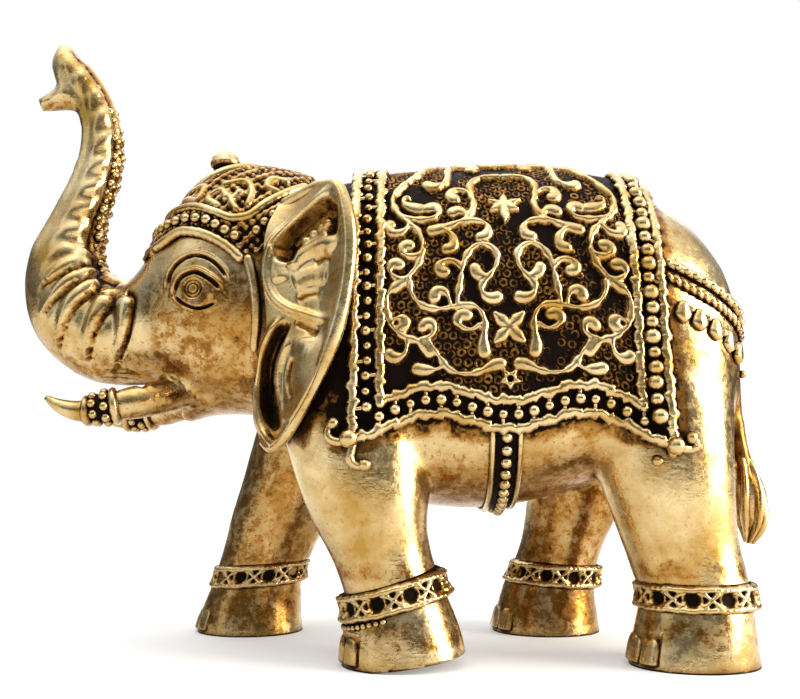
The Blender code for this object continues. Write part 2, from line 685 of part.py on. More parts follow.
def hem_borders():
    """Two cords and a row of beads along each hem."""
    meshes = []
    count = int((CLOTH_REAR - CLOTH_FRONT - 3 * BORDER_WIDTH) / BEAD_PITCH) + 1
    bead_x = CLOTH_MIDDLE + (np.arange(count) - (count - 1) / 2) * BEAD_PITCH
    for side in (-1, 1):
        for offset in (0.0, BORDER_WIDTH):
            inset = CORD_INSET + offset
            x = np.linspace(CLOTH_FRONT + inset, CLOTH_REAR - inset, CORD_POINTS // 2)
            meshes.append(cord(np.c_[x, hem(x) - inset], side))
        meshes += beads(*over_cloth(np.c_[bead_x, hem(bead_x) - CORD_INSET - BORDER_WIDTH / 2], side))
    return meshes


def scrolls():
    """The scrolling vine on both flanks: each stroke and its mirror about the cloth's middle."""
    meshes = []
    for stroke in SCROLLS:
        line = walk(*stroke)
        for points in (line, line * (-1, 1) + (2 * CLOTH_MIDDLE, 0)):
            for side in (-1, 1):
                meshes.append(cord(points, side, SCROLL_WIDTH, SCROLL_HEIGHT, (0.7, 0.5)))
    return meshes


def motifs():
    """Flowers on the cloth's middle line, each of four petals that start just off their centre."""
    meshes = []
    for along, petals in MOTIFS:
        for heading, length in petals:
            petal = walk(CLOTH_MIDDLE / SHARE, along, heading, ((length, 0),))
            petal += (petal[-1] - petal[0]) * 0.12
            for side in (-1, 1):
                meshes.append(cord(petal, side, SCROLL_WIDTH * 1.3, SCROLL_HEIGHT, (0.6, 1.0)))
    return meshes


def corner_scrolls():
    """Curls that run off the cloth's lower corners onto the body."""
    meshes = []
    for stroke in CORNERS:
        line = walk(*stroke)
        for side in (-1, 1):
            path, out = torso.place(line[:, 0], line[:, 1], side, CLOTH_THICKNESS * 0.6)
            meshes.append(ridge(path, out, SCROLL_WIDTH * 1.2, SCROLL_HEIGHT, (0.8, 0.8), DEEP_SINK))
    return meshes


def girth():
    """The strap under the belly from hem to hem: two cords with beads on both sides between them."""
    meshes = []
    middle = CLOTH_MIDDLE - GIRTH_OFFSET
    for edge in (-1, 1):
        x = middle + edge * (GIRTH_WIDTH - CORD_WIDTH) / 2
        start = float(hem(x)) - CLOTH_THICKNESS
        finish = torso.length_to(x, torso.section(x)[0, 1])
        run = np.linspace(start, 2 * finish - start, GIRTH_POINTS)
        side = np.where(run > finish, 1.0, -1.0)
        path, out = torso.place(np.full(GIRTH_POINTS, x), np.minimum(run, 2 * finish - run), side)
        meshes.append(ridge(path, out, CORD_WIDTH, CORD_HEIGHT))
    start = float(hem(middle)) + BEAD_DIAMETER / 2
    run = np.arange(start, torso.length_to(middle, torso.section(middle)[0, 1]) - BEAD_PITCH, BEAD_PITCH)
    for side in (-1, 1):
        meshes += beads(*torso.place(np.full(len(run), middle), run, side))
    return meshes


def skin_ridge(form, line, side, width, height, count, sink=SINK):
    """A ridge over a form's skin through places given as x and height."""
    rows = resample(np.c_[np.array(line) * SHARE, np.zeros(len(line))], count)
    path, out = form.place(rows[:, 0], rows[:, 1], side, measure="height")
    return ridge(path, out, width, height, (0.6, 0.6), sink)


def crupper():
    """The two cords that run from the cloth round the rump, with the drops that hang from them."""
    meshes = []
    drops = np.array(CRUPPER_DROPS) * SHARE
    for side in (-1, 1):
        for line in CRUPPER:
            meshes.append(skin_ridge(torso, line, side, CORD_WIDTH * 1.3, CORD_HEIGHT, 6, DEEP_SINK))
        meshes += beads(*torso.place(drops[:, 0], drops[:, 1], side, measure="height"))
    return meshes


def crown_line(line, crown, count):
    """A line over the head from side to side, through places at x and height and over the top at crown."""
    points = np.array(line) * SHARE
    near = np.hstack(head.place(points[:, 0], points[:, 1], -1, measure="height"))
    far = np.hstack(head.place(points[:, 0], points[:, 1], 1, measure="height"))
    top = np.hstack(head.place(crown * SHARE, 0.0, 1))
    rows = resample(np.r_[near, top, far[::-1]], count)
    return rows[:, :3], unit(rows[:, 3:])


def finial():
    """The turned knob on top of the head, with a ring of petals round its foot."""
    top = head.skin(FINIAL_AT * SHARE, 0.0, 1)[0]
    turn = np.linspace(0.0, 2 * math.pi, FINIAL_SIDES, endpoint=False)
    circle = np.c_[np.cos(turn), np.sin(turn), np.zeros(FINIAL_SIDES)] * FINIAL_DIAMETER / 2
    rings = [top + circle * wide + (0.0, 0.0, high * FINIAL_DIAMETER) for wide, high in FINIAL_PROFILE]
    bearing = 2 * math.pi * (np.arange(PETALS) + 0.25) / PETALS
    spread = PETAL_REACH * FINIAL_DIAMETER * np.stack((np.cos(bearing), np.sin(bearing)))
    petals = head.place(top[0] + spread[0], np.abs(spread[1]), np.sign(spread[1]))
    return [solid_mesh("finial", np.array(rings))] + beads(*petals)


def headdress():
    """The cap's two bands with beads between them, its curls, and the strap in front of each ear."""
    meshes = [ridge(*crown_line(LOWER_BAND, LOWER_CROWN, BAND_POINTS), BAND_WIDTH, BAND_HEIGHT)]
    meshes.append(ridge(*crown_line(UPPER_BAND, UPPER_CROWN, BAND_POINTS), BAND_WIDTH, BAND_HEIGHT))
    meshes += beads(*crown_line(BEAD_LINE, BEAD_CROWN, CAP_BEADS))
    for side in (-1, 1):
        for line in CAP_CURLS:
            meshes.append(skin_ridge(head, line, side, SCROLL_WIDTH, SCROLL_HEIGHT, 5))
        meshes.append(skin_ridge(head, EAR_STRAP, side, BAND_WIDTH * 1.3, BAND_HEIGHT, 6))
    return meshes


def eyes():
    """Each eye: a low dome between its lids, under a brow."""
    meshes = []
    for side in (-1, 1):
        for line, width in ((UPPER_LID, 1.0), (LOWER_LID, 0.9), (BROW, 1.1)):
            meshes.append(skin_ridge(head, line, side, LID_WIDTH * width, LID_HEIGHT, 7))
        place, out = head.place(EYE[0] * SHARE, EYE[1] * SHARE, side, measure="height")
        meshes.append(bead(place[0], out[0], EYE_DIAMETER, BEAD_HEIGHT, 8))
    return meshes


def sleeve(rows, share, length, depth, sides):
    """A raised ring around a limb, of triangular section."""
    rows = resample(rows, 41)
    run = np.linalg.norm(np.diff(rows[:, :3], axis=0), axis=1).sum()
    turn = np.linspace(0.0, 2 * math.pi, sides, endpoint=False)
    rings = []
    for step, lift in ((-0.5, -SINK / 2), (0.0, depth), (0.5, -SINK / 2)):
        place, out = limb_place(rows, share + step * length / run, turn)
        rings.append(place + out * lift)
    return solid_mesh("sleeve", np.array(rings))


def tusks():
    """The two tusks, each with the rings of its collar."""
    meshes = []
    for side in (-1, 1):
        rows = scaled(TUSK, side)
        meshes.append(solid_mesh("tusk", limb_rings(rows, 12, 10)))
        for share in TUSK_BANDS:
            meshes.append(sleeve(rows, share, TUSK_BAND, TUSK_BAND / 2, 10))
    return meshes


def trunk_trim():
    """The folds across the trunk's sides, and the strip that runs up its front."""
    meshes = []
    trunk = resample(scaled(TRUNK), 61)
    folds = [(share, BEND_FOLD_SWEEP, BEND_FOLD_WIDTH) for share in BEND_FOLDS]
    folds += [(share, UPPER_FOLD_SWEEP, UPPER_FOLD_WIDTH) for share in UPPER_FOLDS]
    for share, sweep, width in folds:
        for side in (0.0, 180.0):
            path, out = limb_place(trunk, share, np.radians(side + np.linspace(-sweep, sweep, 6)))
            meshes.append(ridge(path, out, width, width / 2, (0.3, 0.3)))
    share = np.linspace(*TRUNK_STRIP, TRUNK_STRIP_POINTS)
    path, out = limb_place(trunk, share, np.full(TRUNK_STRIP_POINTS, math.pi / 2))
    meshes.append(ridge(path, out, BAND_WIDTH * 1.6, BAND_HEIGHT, (0.5, 0.5)))
    return meshes


def ankle_place(rows, tilt, turn, level, lift=0.0):
    """Places round a leg on a tilted level, lifted off its skin, and the way out there."""
    x, y, across, deep = [np.interp(level, rows[:, 2], rows[:, i]) for i in (0, 1, 3, 4)]
    forward = deep * np.cos(turn)
    sideways = across * np.sin(turn)
    rise = level + forward * math.tan(math.radians(tilt))
    place = np.stack((x + forward, y + sideways, rise), axis=-1)
    out = unit(np.stack((forward / deep**2, sideways / across**2, np.zeros(turn.shape)), axis=-1))
    return place + out * lift, out


def anklet(rows, tilt):
    """Two rims around the ankle with crossed bars between them."""
    meshes = []
    level = ANKLET_MIDDLE * SHARE
    reach = (ANKLET_HEIGHT - ANKLET_WIDTH) / 2
    turn = np.linspace(0.0, 2 * math.pi, ANKLET_SIDES, endpoint=False)
    profile = ((-ANKLET_WIDTH * 0.8, -SINK), (0.0, ANKLET_DEPTH), (ANKLET_WIDTH * 0.8, -SINK))
    for edge in (-reach, reach):
        rings = [ankle_place(rows, tilt, turn, level + edge + rise, lift)[0] for rise, lift in profile]
        meshes.append(solid_mesh("rim", np.array(rings)))
    half = math.pi / ANKLET_CROSSES * 0.8
    for i in range(ANKLET_CROSSES):
        bearing = 2 * math.pi * (i + 0.5) / ANKLET_CROSSES
        for lean in (-1, 1):
            start = ankle_place(rows, tilt, np.array([bearing - half]), level - lean * reach)
            finish = ankle_place(rows, tilt, np.array([bearing + half]), level + lean * reach)
            path, out = np.concatenate((start, finish), axis=1)
            meshes.append(ridge(path, out, CORD_WIDTH * 0.9, ANKLET_DEPTH * 0.7))
    return meshes


def nails(rows):
    """The toenails, as low domes in front of the foot."""
    turn = np.radians(180 + np.array(NAIL_ANGLES))
    places, out = ankle_place(rows, 0.0, turn, NAIL_HEIGHT * SHARE)
    return [bead(place, normal, NAIL_DIAMETER, NAIL_DEPTH, 7) for place, normal in zip(places, out)]


def ear(side):
    """One ear: a curved slab, hollowed towards the head, with a rolled rim and folds."""
    down = np.linspace(0.0, 1.0, EAR_ROWS)
    edges = smooth_curve(np.linspace(0.0, 1.0, len(EAR)), np.array(EAR) * SHARE, down)
    edges *= (1, side, 1, 1, side, 1)
    share = np.linspace(0.0, 1.0, EAR_COLUMNS)
    sheet = edges[:, None, :3] * (1 - share[:, None]) + edges[:, None, 3:] * share[:, None]
    hollow = np.sin(math.pi * share) * np.sin(math.pi * (0.1 + 0.8 * down))[:, None]
    sheet[..., 1] -= side * EAR_HOLLOW * hollow
    half = np.array((0.3, side, 0.0)) * EAR_THICKNESS / 2
    slab = np.concatenate((sheet + half, (sheet - half)[:, ::-1]), axis=1)
    meshes = [solid_mesh("ear", slab)]
    edge = np.r_[edges[:1, :3], edges[:, 3:], edges[-1:, :3]]
    rim = np.c_[edge, np.full((len(edge), 2), EAR_RIM / 2)]
    meshes.append(solid_mesh("rim", limb_rings(rim, 18, 6)))
    out = unit(np.tile((-0.2, side, 0.0), (EAR_COLUMNS, 1)))
    columns = np.arange(EAR_COLUMNS)
    for first, last in EAR_FOLDS:
        row = np.linspace(first, last, EAR_COLUMNS)
        path = np.array([[np.interp(r, np.arange(EAR_ROWS), (sheet + half)[:, c, i]) for i in range(3)]
                         for r, c in zip(row, columns)])
        meshes.append(ridge(path[:-1], out[:-1], EAR_FOLD_WIDTH, EAR_FOLD_HEIGHT, (0.8, 0.2)))
    return meshes


def carving():
    """Everything that stands on the animal's skin."""
    meshes = [cloth_slab()] + cross_borders() + hem_borders() + scrolls() + motifs() + corner_scrolls()
    meshes += girth() + crupper() + headdress() + finial() + eyes() + tusks() + trunk_trim()
    for leg, side, tilt in LEGS:
        rows = resample(leg_stations(leg, side), 61)[::-1]
        meshes += anklet(rows, tilt) + nails(rows)
    return meshes + ear(-1) + ear(1)


def cut_feet(item, tools):
    """The feet cut flat on the ground, with the near front heel lifted."""
    ground = box_cutter("ground", np.array(GROUND) * SHARE, 0.0, (0.0, 0.0, 0.0), tools)
    combine(item, ground, "DIFFERENCE")
    heel = ((HEEL_START, -30.0 * SHARE, -10.0 * SHARE), (HEEL_START + 23.0 * SHARE, 0.0, 0.0))
    combine(item, box_cutter("heel", heel, -HEEL_TILT, (HEEL_START, 0.0, 0.0), tools), "DIFFERENCE")


def brass():
    """Polished brass, as one plain metal."""
    material = bpy.data.materials.new("antiqued_brass")
    material.use_nodes = True
    shader = material.node_tree.nodes["Principled BSDF"]
    shader.inputs["Base Color"].default_value = BRASS
    shader.inputs["Metallic"].default_value = 1.0
    shader.inputs["Roughness"].default_value = 0.35
    return material


def main():
    for item in list(bpy.data.objects):
        bpy.data.objects.remove(item)
    figure = bpy.data.collections.new("brass_elephant_figurine")
    bpy.context.scene.collection.children.link(figure)
    tools = bpy.data.collections.new("cutters")
    bpy.context.scene.collection.children.link(tools)
    item = body(figure)
    combine(item, set_aside(gather("carving", carving(), tools)), "UNION")
    keep_outer_shell(item)
    thin_out(item, FIGURE_TRIANGLES)
    cut_feet(item, tools)
    mend(item)
    centre(item)
    item.data.materials.clear()
    item.data.materials.append(brass())


main()
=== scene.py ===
"""Looks of a cast brass elephant figurine: polished relief over a dark, antiqued ground.

Forms are worked out in millimetres in the figure's own frame: it faces -X, +Z is up, y = 0 is its
middle plane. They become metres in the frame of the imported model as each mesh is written.
"""

import functools
import json
import math

import bmesh
import bpy
import numpy as np
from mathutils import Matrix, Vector

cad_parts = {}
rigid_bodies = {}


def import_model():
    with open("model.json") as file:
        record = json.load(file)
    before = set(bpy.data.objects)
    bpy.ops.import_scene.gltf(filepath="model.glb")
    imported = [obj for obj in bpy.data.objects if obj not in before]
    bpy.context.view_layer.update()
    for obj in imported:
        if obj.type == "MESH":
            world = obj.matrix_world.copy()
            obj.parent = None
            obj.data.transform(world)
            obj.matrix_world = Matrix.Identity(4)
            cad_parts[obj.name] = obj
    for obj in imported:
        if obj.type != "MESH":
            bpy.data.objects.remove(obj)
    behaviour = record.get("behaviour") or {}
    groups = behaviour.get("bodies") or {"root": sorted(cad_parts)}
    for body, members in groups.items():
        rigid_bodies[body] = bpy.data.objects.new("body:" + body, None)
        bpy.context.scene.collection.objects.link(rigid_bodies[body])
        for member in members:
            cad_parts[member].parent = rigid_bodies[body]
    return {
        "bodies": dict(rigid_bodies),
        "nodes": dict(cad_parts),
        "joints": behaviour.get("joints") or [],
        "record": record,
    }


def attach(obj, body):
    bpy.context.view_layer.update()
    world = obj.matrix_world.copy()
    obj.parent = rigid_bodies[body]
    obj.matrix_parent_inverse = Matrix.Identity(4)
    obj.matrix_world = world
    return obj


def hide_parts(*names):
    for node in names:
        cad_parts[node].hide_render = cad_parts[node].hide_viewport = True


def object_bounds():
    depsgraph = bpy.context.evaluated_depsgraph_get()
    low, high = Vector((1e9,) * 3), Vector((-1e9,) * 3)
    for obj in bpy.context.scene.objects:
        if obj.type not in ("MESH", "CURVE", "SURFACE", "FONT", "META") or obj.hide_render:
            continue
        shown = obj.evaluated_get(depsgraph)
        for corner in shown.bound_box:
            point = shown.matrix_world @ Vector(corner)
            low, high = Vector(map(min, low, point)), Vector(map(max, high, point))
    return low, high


bl_info = {
    "name": "Brass Elephant Figurine",
    "version": (1, 0, 0),
    "blender": (4, 5, 0),
    "location": "View3D > Sidebar > Elephant",
    "description": "Cast brass elephant with a scrolled saddle cloth and a beaded headdress",
    "category": "Mesh",
}

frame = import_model()
CAD_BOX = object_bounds()

MM = 0.001
REAR_REACH = 54.92  # the tail's rearmost place in the figure's own frame
SHIFT = CAD_BOX[1][0] / MM - REAR_REACH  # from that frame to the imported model's
NODE = "elephant_figurine"
SIDES = ((-1, "left"), (1, "right"))

# The saddle cloth and its girth, in mm, with the counts of points in its grids
CLOTH_FRONT = -6.0
CLOTH_REAR = 36.0
CLOTH_MIDDLE = (CLOTH_FRONT + CLOTH_REAR) / 2
CLOTH_THICKNESS = 1.1
CLOTH_COLUMNS = 241
CLOTH_ROWS = 281
CLOTH_BACK_ROWS = 10
HEM_LENGTH = 49.4  # along the body from the spine to the hem's lowest points
HEM_RISE = 2.3
GROUND_DEPTH = 0.55
RING_PITCH = 1.36
RING_ROW_PITCH = RING_PITCH * 0.87
RING_RADIUS = 0.45
RING_LINE = 0.13
VINE_WIDTH = 1.38
VINE_HEIGHT = 0.9
VINE_BULB = 2.05
MOTIF_HOLE = 0.42
RAIL_WIDTH = 1.6
RAIL_HEIGHT = 1.25
BORDER_WIDTH = 3.4  # outer rail to inner rail, middle to middle
ROPE_INSET = 0.6  # from the cloth's edge to the outer rail's middle
RAIL_POINTS = {"hem": 430, "cross": 560}
BEAD_DIAMETER = 1.5  # along the hem
FRONT_BEAD_DIAMETER = 1.35
REAR_BEAD_DIAMETER = 2.1
BEAD_PITCH = 2.0
CORNER_BALL_AT = 48.6
GIRTH_MIDDLE = CLOTH_MIDDLE - 0.4
GIRTH_WIDTH = 3.6
GIRTH_POINTS = 240

# Feet and anklets. Each toenail lies between two angles from straight ahead, in degrees
FOOT_SPREAD = 12.8
HEEL_TILT = 8.0
HEEL_START = -3.0
ANKLET_MIDDLE = 9.0
ANKLET_HALF = 2.1  # half of its height
ANKLET_REACH = 1.22  # from its middle to the middle of each rim
ANKLET_CELLS = 10
ANKLET_ROWS = 38
ANKLET_COLUMNS = 240
TOES = ((-47.0, -27.0), (-25.0, -3.0), (-1.0, 21.0), (23.0, 43.0))
TOES_FROM = -54
TOES_TO = 50
TOE_ROWS = 100
TOE_COLUMNS = 40
TOE_BACK_COLUMNS = 8
TOE_LOW = 0.35
TOE_HIGH = 5.6

# The skin. Its face is cut finer inside two boxes of x and height
SKIN_VOXEL = 0.64
SKIN_SMOOTHING = 12
FACE_BOX = ((-40.0, -20.5), (34.0, 61.0))
EYE_BOX = ((-33.6, -22.0), (46.0, 56.8))

# Stations along X: x, top, bottom, half width, height of the widest place
TORSO = (
    (-22.0, 63.0, 36.0, 10.5, 47.0),
    (-18.0, 66.0, 30.5, 13.5, 44.0),
    (-12.0, 68.0, 25.5, 16.2, 41.0),
    (-5.0, 68.9, 22.0, 17.8, 38.5),
    (4.0, 69.7, 20.4, 18.4, 37.0),
    (14.0, 70.1, 20.0, 18.6, 36.5),
    (24.0, 69.9, 22.0, 18.6, 37.0),
    (33.0, 68.2, 25.0, 18.2, 38.0),
    (40.0, 64.5, 27.0, 16.8, 39.0),
    (45.0, 60.1, 29.0, 14.2, 40.0),
    (48.6, 54.2, 31.5, 10.0, 41.0),
    (50.4, 48.0, 35.0, 4.5, 41.5),
)
TORSO_POWER = 2.45
HEAD = (
    (-10.0, 68.6, 36.0, 12.0, 52.0),
    (-15.0, 70.2, 34.0, 13.4, 51.5),
    (-21.0, 71.2, 33.6, 13.6, 51.0),
    (-27.0, 70.1, 35.0, 13.0, 50.5),
    (-31.0, 66.6, 36.4, 12.0, 50.0),
    (-34.5, 62.6, 37.6, 10.4, 49.0),
    (-37.5, 57.0, 38.6, 8.8, 47.6),
    (-40.5, 53.4, 39.0, 7.4, 46.4),
)
HEAD_POWER = 2.2

# Stations along a limb: x, y, z, half width across, half depth in the limb's own plane
TRUNK = (
    (-33.0, 0.0, 47.0, 8.6, 8.6),
    (-38.0, 0.0, 46.2, 7.8, 8.1),
    (-43.6, 0.0, 46.4, 7.2, 8.0),
    (-48.6, 0.0, 50.1, 6.6, 7.5),
    (-50.8, 0.0, 56.0, 5.4, 5.9),
    (-49.4, 0.0, 63.0, 4.2, 3.9),
    (-47.4, 0.0, 68.6, 3.7, 3.5),
    (-46.2, 0.0, 73.6, 3.3, 3.2),
    (-46.2, 0.0, 78.4, 3.0, 3.05),
    (-47.6, 0.0, 82.6, 2.8, 3.0),
    (-50.4, 0.0, 86.4, 2.7, 3.1),
    (-52.4, 0.0, 89.6, 2.3, 2.3),
    (-52.4, 0.0, 92.4, 1.2, 1.1),
)
LOWER_FINGER = (
    (-48.6, 0.0, 84.2, 2.3, 2.4),
    (-52.4, 0.0, 83.6, 2.1, 1.9),
    (-56.2, 0.0, 82.3, 1.5, 1.15),
)
JAW = (
    (-19.0, 0.0, 38.5, 8.4, 5.2),
    (-24.5, 0.0, 37.4, 7.0, 3.9),
    (-29.0, 0.0, 35.6, 4.8, 2.4),
    (-32.0, 0.0, 33.2, 2.4, 1.1),
)
TUSK = (
    (-30.5, 4.2, 36.6, 2.2, 2.2),
    (-34.0, 7.0, 35.7, 2.5, 2.6),
    (-37.4, 8.9, 34.8, 2.35, 2.45),
    (-40.6, 9.6, 34.1, 1.9, 1.95),
    (-44.6, 9.8, 33.6, 1.45, 1.45),
    (-47.4, 9.8, 34.4, 0.95, 0.95),
    (-49.2, 9.8, 35.5, 0.35, 0.35),
)
TUSK_SECTIONS = 60
TUSK_ROOT = 32  # the section where the finished tusk starts
TUSK_OVERLAP = 5  # how many sections further its root in the fused skin runs
COLLAR_START = -39.4
# The collar's outline along the tusk: run from its start, height over the tusk, patina
COLLAR = (
    (-0.5, -0.6, 1.0),
    (-0.3, 0.35, 0.3),
    (0.1, 0.6, 0.0),
    (0.5, 0.5, 0.0),
    (0.75, 0.12, 1.0),
    (3.5, 0.1, 1.0),
    (3.75, 0.5, 0.2),
    (4.1, 0.55, 0.0),
    (4.4, 0.35, 0.2),
    (4.6, 0.05, 1.0),
    (4.9, -0.5, 1.0),
)
TAIL = (
    (36.0, 0.0, 65.8, 1.6, 1.6),
    (41.4, 0.0, 62.6, 1.9, 1.9),
    (46.2, 0.0, 57.4, 1.9, 1.9),
    (49.6, 0.0, 50.4, 1.9, 1.9),
    (50.8, 0.0, 43.0, 1.5, 1.5),
    (51.2, 0.0, 34.0, 1.2, 1.2),
    (51.7, 0.0, 27.0, 1.6, 1.5),
    (52.6, 0.0, 21.0, 2.3, 2.1),
    (52.8, 0.0, 17.0, 1.8, 1.6),
    (52.3, 0.0, 14.6, 0.7, 0.6),
)
TUFT_TOP = 29.0
# Legs: x, share of the foot's spread, z, half width across, half depth, down to below the ground
NEAR_FRONT_LEG = (
    (-6.0, 0.80, 42.0, 7.4, 11.0),
    (-5.4, 0.92, 32.0, 7.6, 10.2),
    (-3.6, 1.00, 21.4, 7.0, 8.4),
    (-1.6, 1.02, 13.6, 6.0, 6.5),
    (-0.2, 1.03, 9.0, 5.9, 6.6),
    (0.6, 1.05, 5.4, 6.5, 7.4),
    (1.2, 1.05, 0.0, 7.0, 8.4),
    (1.2, 1.05, -3.0, 7.0, 8.4),
)
FAR_FRONT_LEG = (
    (-10.0, 0.80, 42.0, 7.4, 9.6),
    (-13.6, 0.92, 32.0, 7.6, 8.8),
    (-17.2, 1.00, 22.0, 7.0, 8.0),
    (-19.9, 1.02, 15.6, 6.2, 7.2),
    (-21.8, 1.03, 9.6, 5.9, 6.8),
    (-22.6, 1.05, 5.4, 6.5, 7.4),
    (-23.4, 1.05, 0.0, 7.4, 8.5),
    (-23.4, 1.05, -3.0, 7.4, 8.5),
)
NEAR_HIND_LEG = (
    (35.4, 0.80, 44.0, 7.2, 11.6),
    (36.0, 0.92, 33.0, 7.6, 10.6),
    (37.2, 1.00, 23.0, 7.0, 8.8),
    (38.8, 1.02, 14.0, 6.0, 7.4),
    (40.0, 1.03, 9.6, 5.9, 7.2),
    (39.8, 1.05, 5.4, 6.4, 7.8),
    (39.4, 1.05, 0.0, 7.0, 8.6),
    (39.4, 1.05, -3.0, 7.0, 8.6),
)
FAR_HIND_LEG = (
    (34.0, 0.80, 44.0, 7.2, 11.0),
    (31.4, 0.92, 32.0, 7.6, 9.8),
    (28.8, 1.00, 21.0, 6.8, 7.8),
    (26.8, 1.02, 14.0, 6.0, 6.4),
    (25.6, 1.03, 9.6, 5.9, 6.6),
    (24.6, 1.05, 5.4, 6.6, 7.6),
    (24.0, 1.05, 0.0, 7.4, 8.6),
    (24.0, 1.05, -3.0, 7.4, 8.6),
)
# Each leg with its side, the tilt of its anklet in degrees and its name
LEGS = (
    (NEAR_FRONT_LEG, -1, 16.0, "left_front"),
    (FAR_FRONT_LEG, 1, 4.0, "right_front"),
    (NEAR_HIND_LEG, -1, 0.0, "left_hind"),
    (FAR_HIND_LEG, 1, -4.0, "right_hind"),
)
# The ear down its length: attached edge x, y, z, then free edge x, y, z, on its own side
EAR = (
    (-16.2, 12.4, 62.4, -10.6, 16.2, 64.2),
    (-17.6, 13.4, 58.5, -7.5, 20.0, 62.7),
    (-18.0, 13.6, 52.5, -6.0, 21.5, 54.9),
    (-17.4, 13.4, 45.6, -7.3, 21.4, 45.0),
    (-18.2, 13.4, 39.0, -10.5, 20.6, 36.4),
    (-19.0, 13.6, 33.0, -14.0, 19.0, 30.4),
    (-18.0, 14.8, 29.4, -16.2, 17.4, 28.2),
)
EAR_ROWS = 150
EAR_COLUMNS = 66
EAR_THICKNESS = 1.7
EAR_HOLLOW = 2.4
EAR_LOCK_SIZE = 0.75
# Ridges: places as x and height, half width, height over the ear
EAR_RIDGES = (
    (((-7.8, 63.4), (-10.9, 61.6), (-14.4, 58.9), (-16.6, 56.4), (-17.4, 53.6), (-17.2, 50.6),
      (-16.0, 48.3), (-14.2, 46.9), (-11.9, 46.0), (-9.6, 45.2), (-7.6, 45.1)), 0.8, 0.75),
    (((-15.8, 56.0), (-16.0, 53.2), (-15.4, 50.6)), 1.5, 0.5),
    (((-14.9, 45.9), (-16.8, 43.4), (-18.1, 40.6), (-18.6, 37.4), (-18.3, 33.8), (-17.5, 30.6),
      (-15.9, 28.9), (-14.0, 28.9)), 0.85, 0.95),
    (((-11.6, 43.4), (-11.3, 40.8), (-11.7, 37.0), (-13.0, 33.2), (-14.0, 31.2)), 2.3, 0.7),
    (((-13.9, 43.0), (-15.3, 39.6), (-15.5, 36.0), (-14.9, 33.0), (-13.8, 30.8)), 0.7, 0.45),
    (((-14.2, 52.4), (-12.8, 54.2), (-10.9, 55.1), (-9.0, 55.4), (-7.6, 54.4)), 1.3, 0.7),
    (((-13.6, 50.2), (-11.4, 51.2), (-8.6, 51.0)), 1.6, 0.4),
)
# Hollows: places as x and height, half width, depth, patina
EAR_HOLLOWS = (
    (((-8.0, 61.2), (-9.8, 59.8), (-12.4, 58.2), (-14.3, 55.9), (-15.0, 53.2)), 1.7, 1.9, 1.0),
    (((-8.4, 60.4), (-8.2, 58.2), (-8.4, 56.4)), 1.0, 1.2, 1.0),
    (((-10.6, 52.9), (-9.4, 53.5), (-8.2, 53.0)), 0.55, 0.4, 0.7),
    (((-13.0, 47.9), (-11.6, 48.6), (-9.8, 48.8)), 0.6, 0.35, 0.55),
    (((-13.2, 44.9), (-11.6, 44.2), (-9.9, 43.2)), 0.55, 0.5, 0.8),
    (((-14.3, 45.3), (-15.7, 42.7), (-16.8, 39.8), (-17.1, 36.2), (-16.7, 33.0), (-15.3, 30.4)),
     0.95, 1.9, 1.0),
    (((-13.4, 40.2), (-14.0, 38.0), (-13.8, 35.8), (-12.9, 34.2)), 0.4, 0.35, 0.6),
)
EAR_LOCKS = ((-12.1, 56.4), (-11.0, 57.2), (-9.9, 57.8), (-9.0, 58.2), (-10.7, 56.0), (-9.5, 56.7))

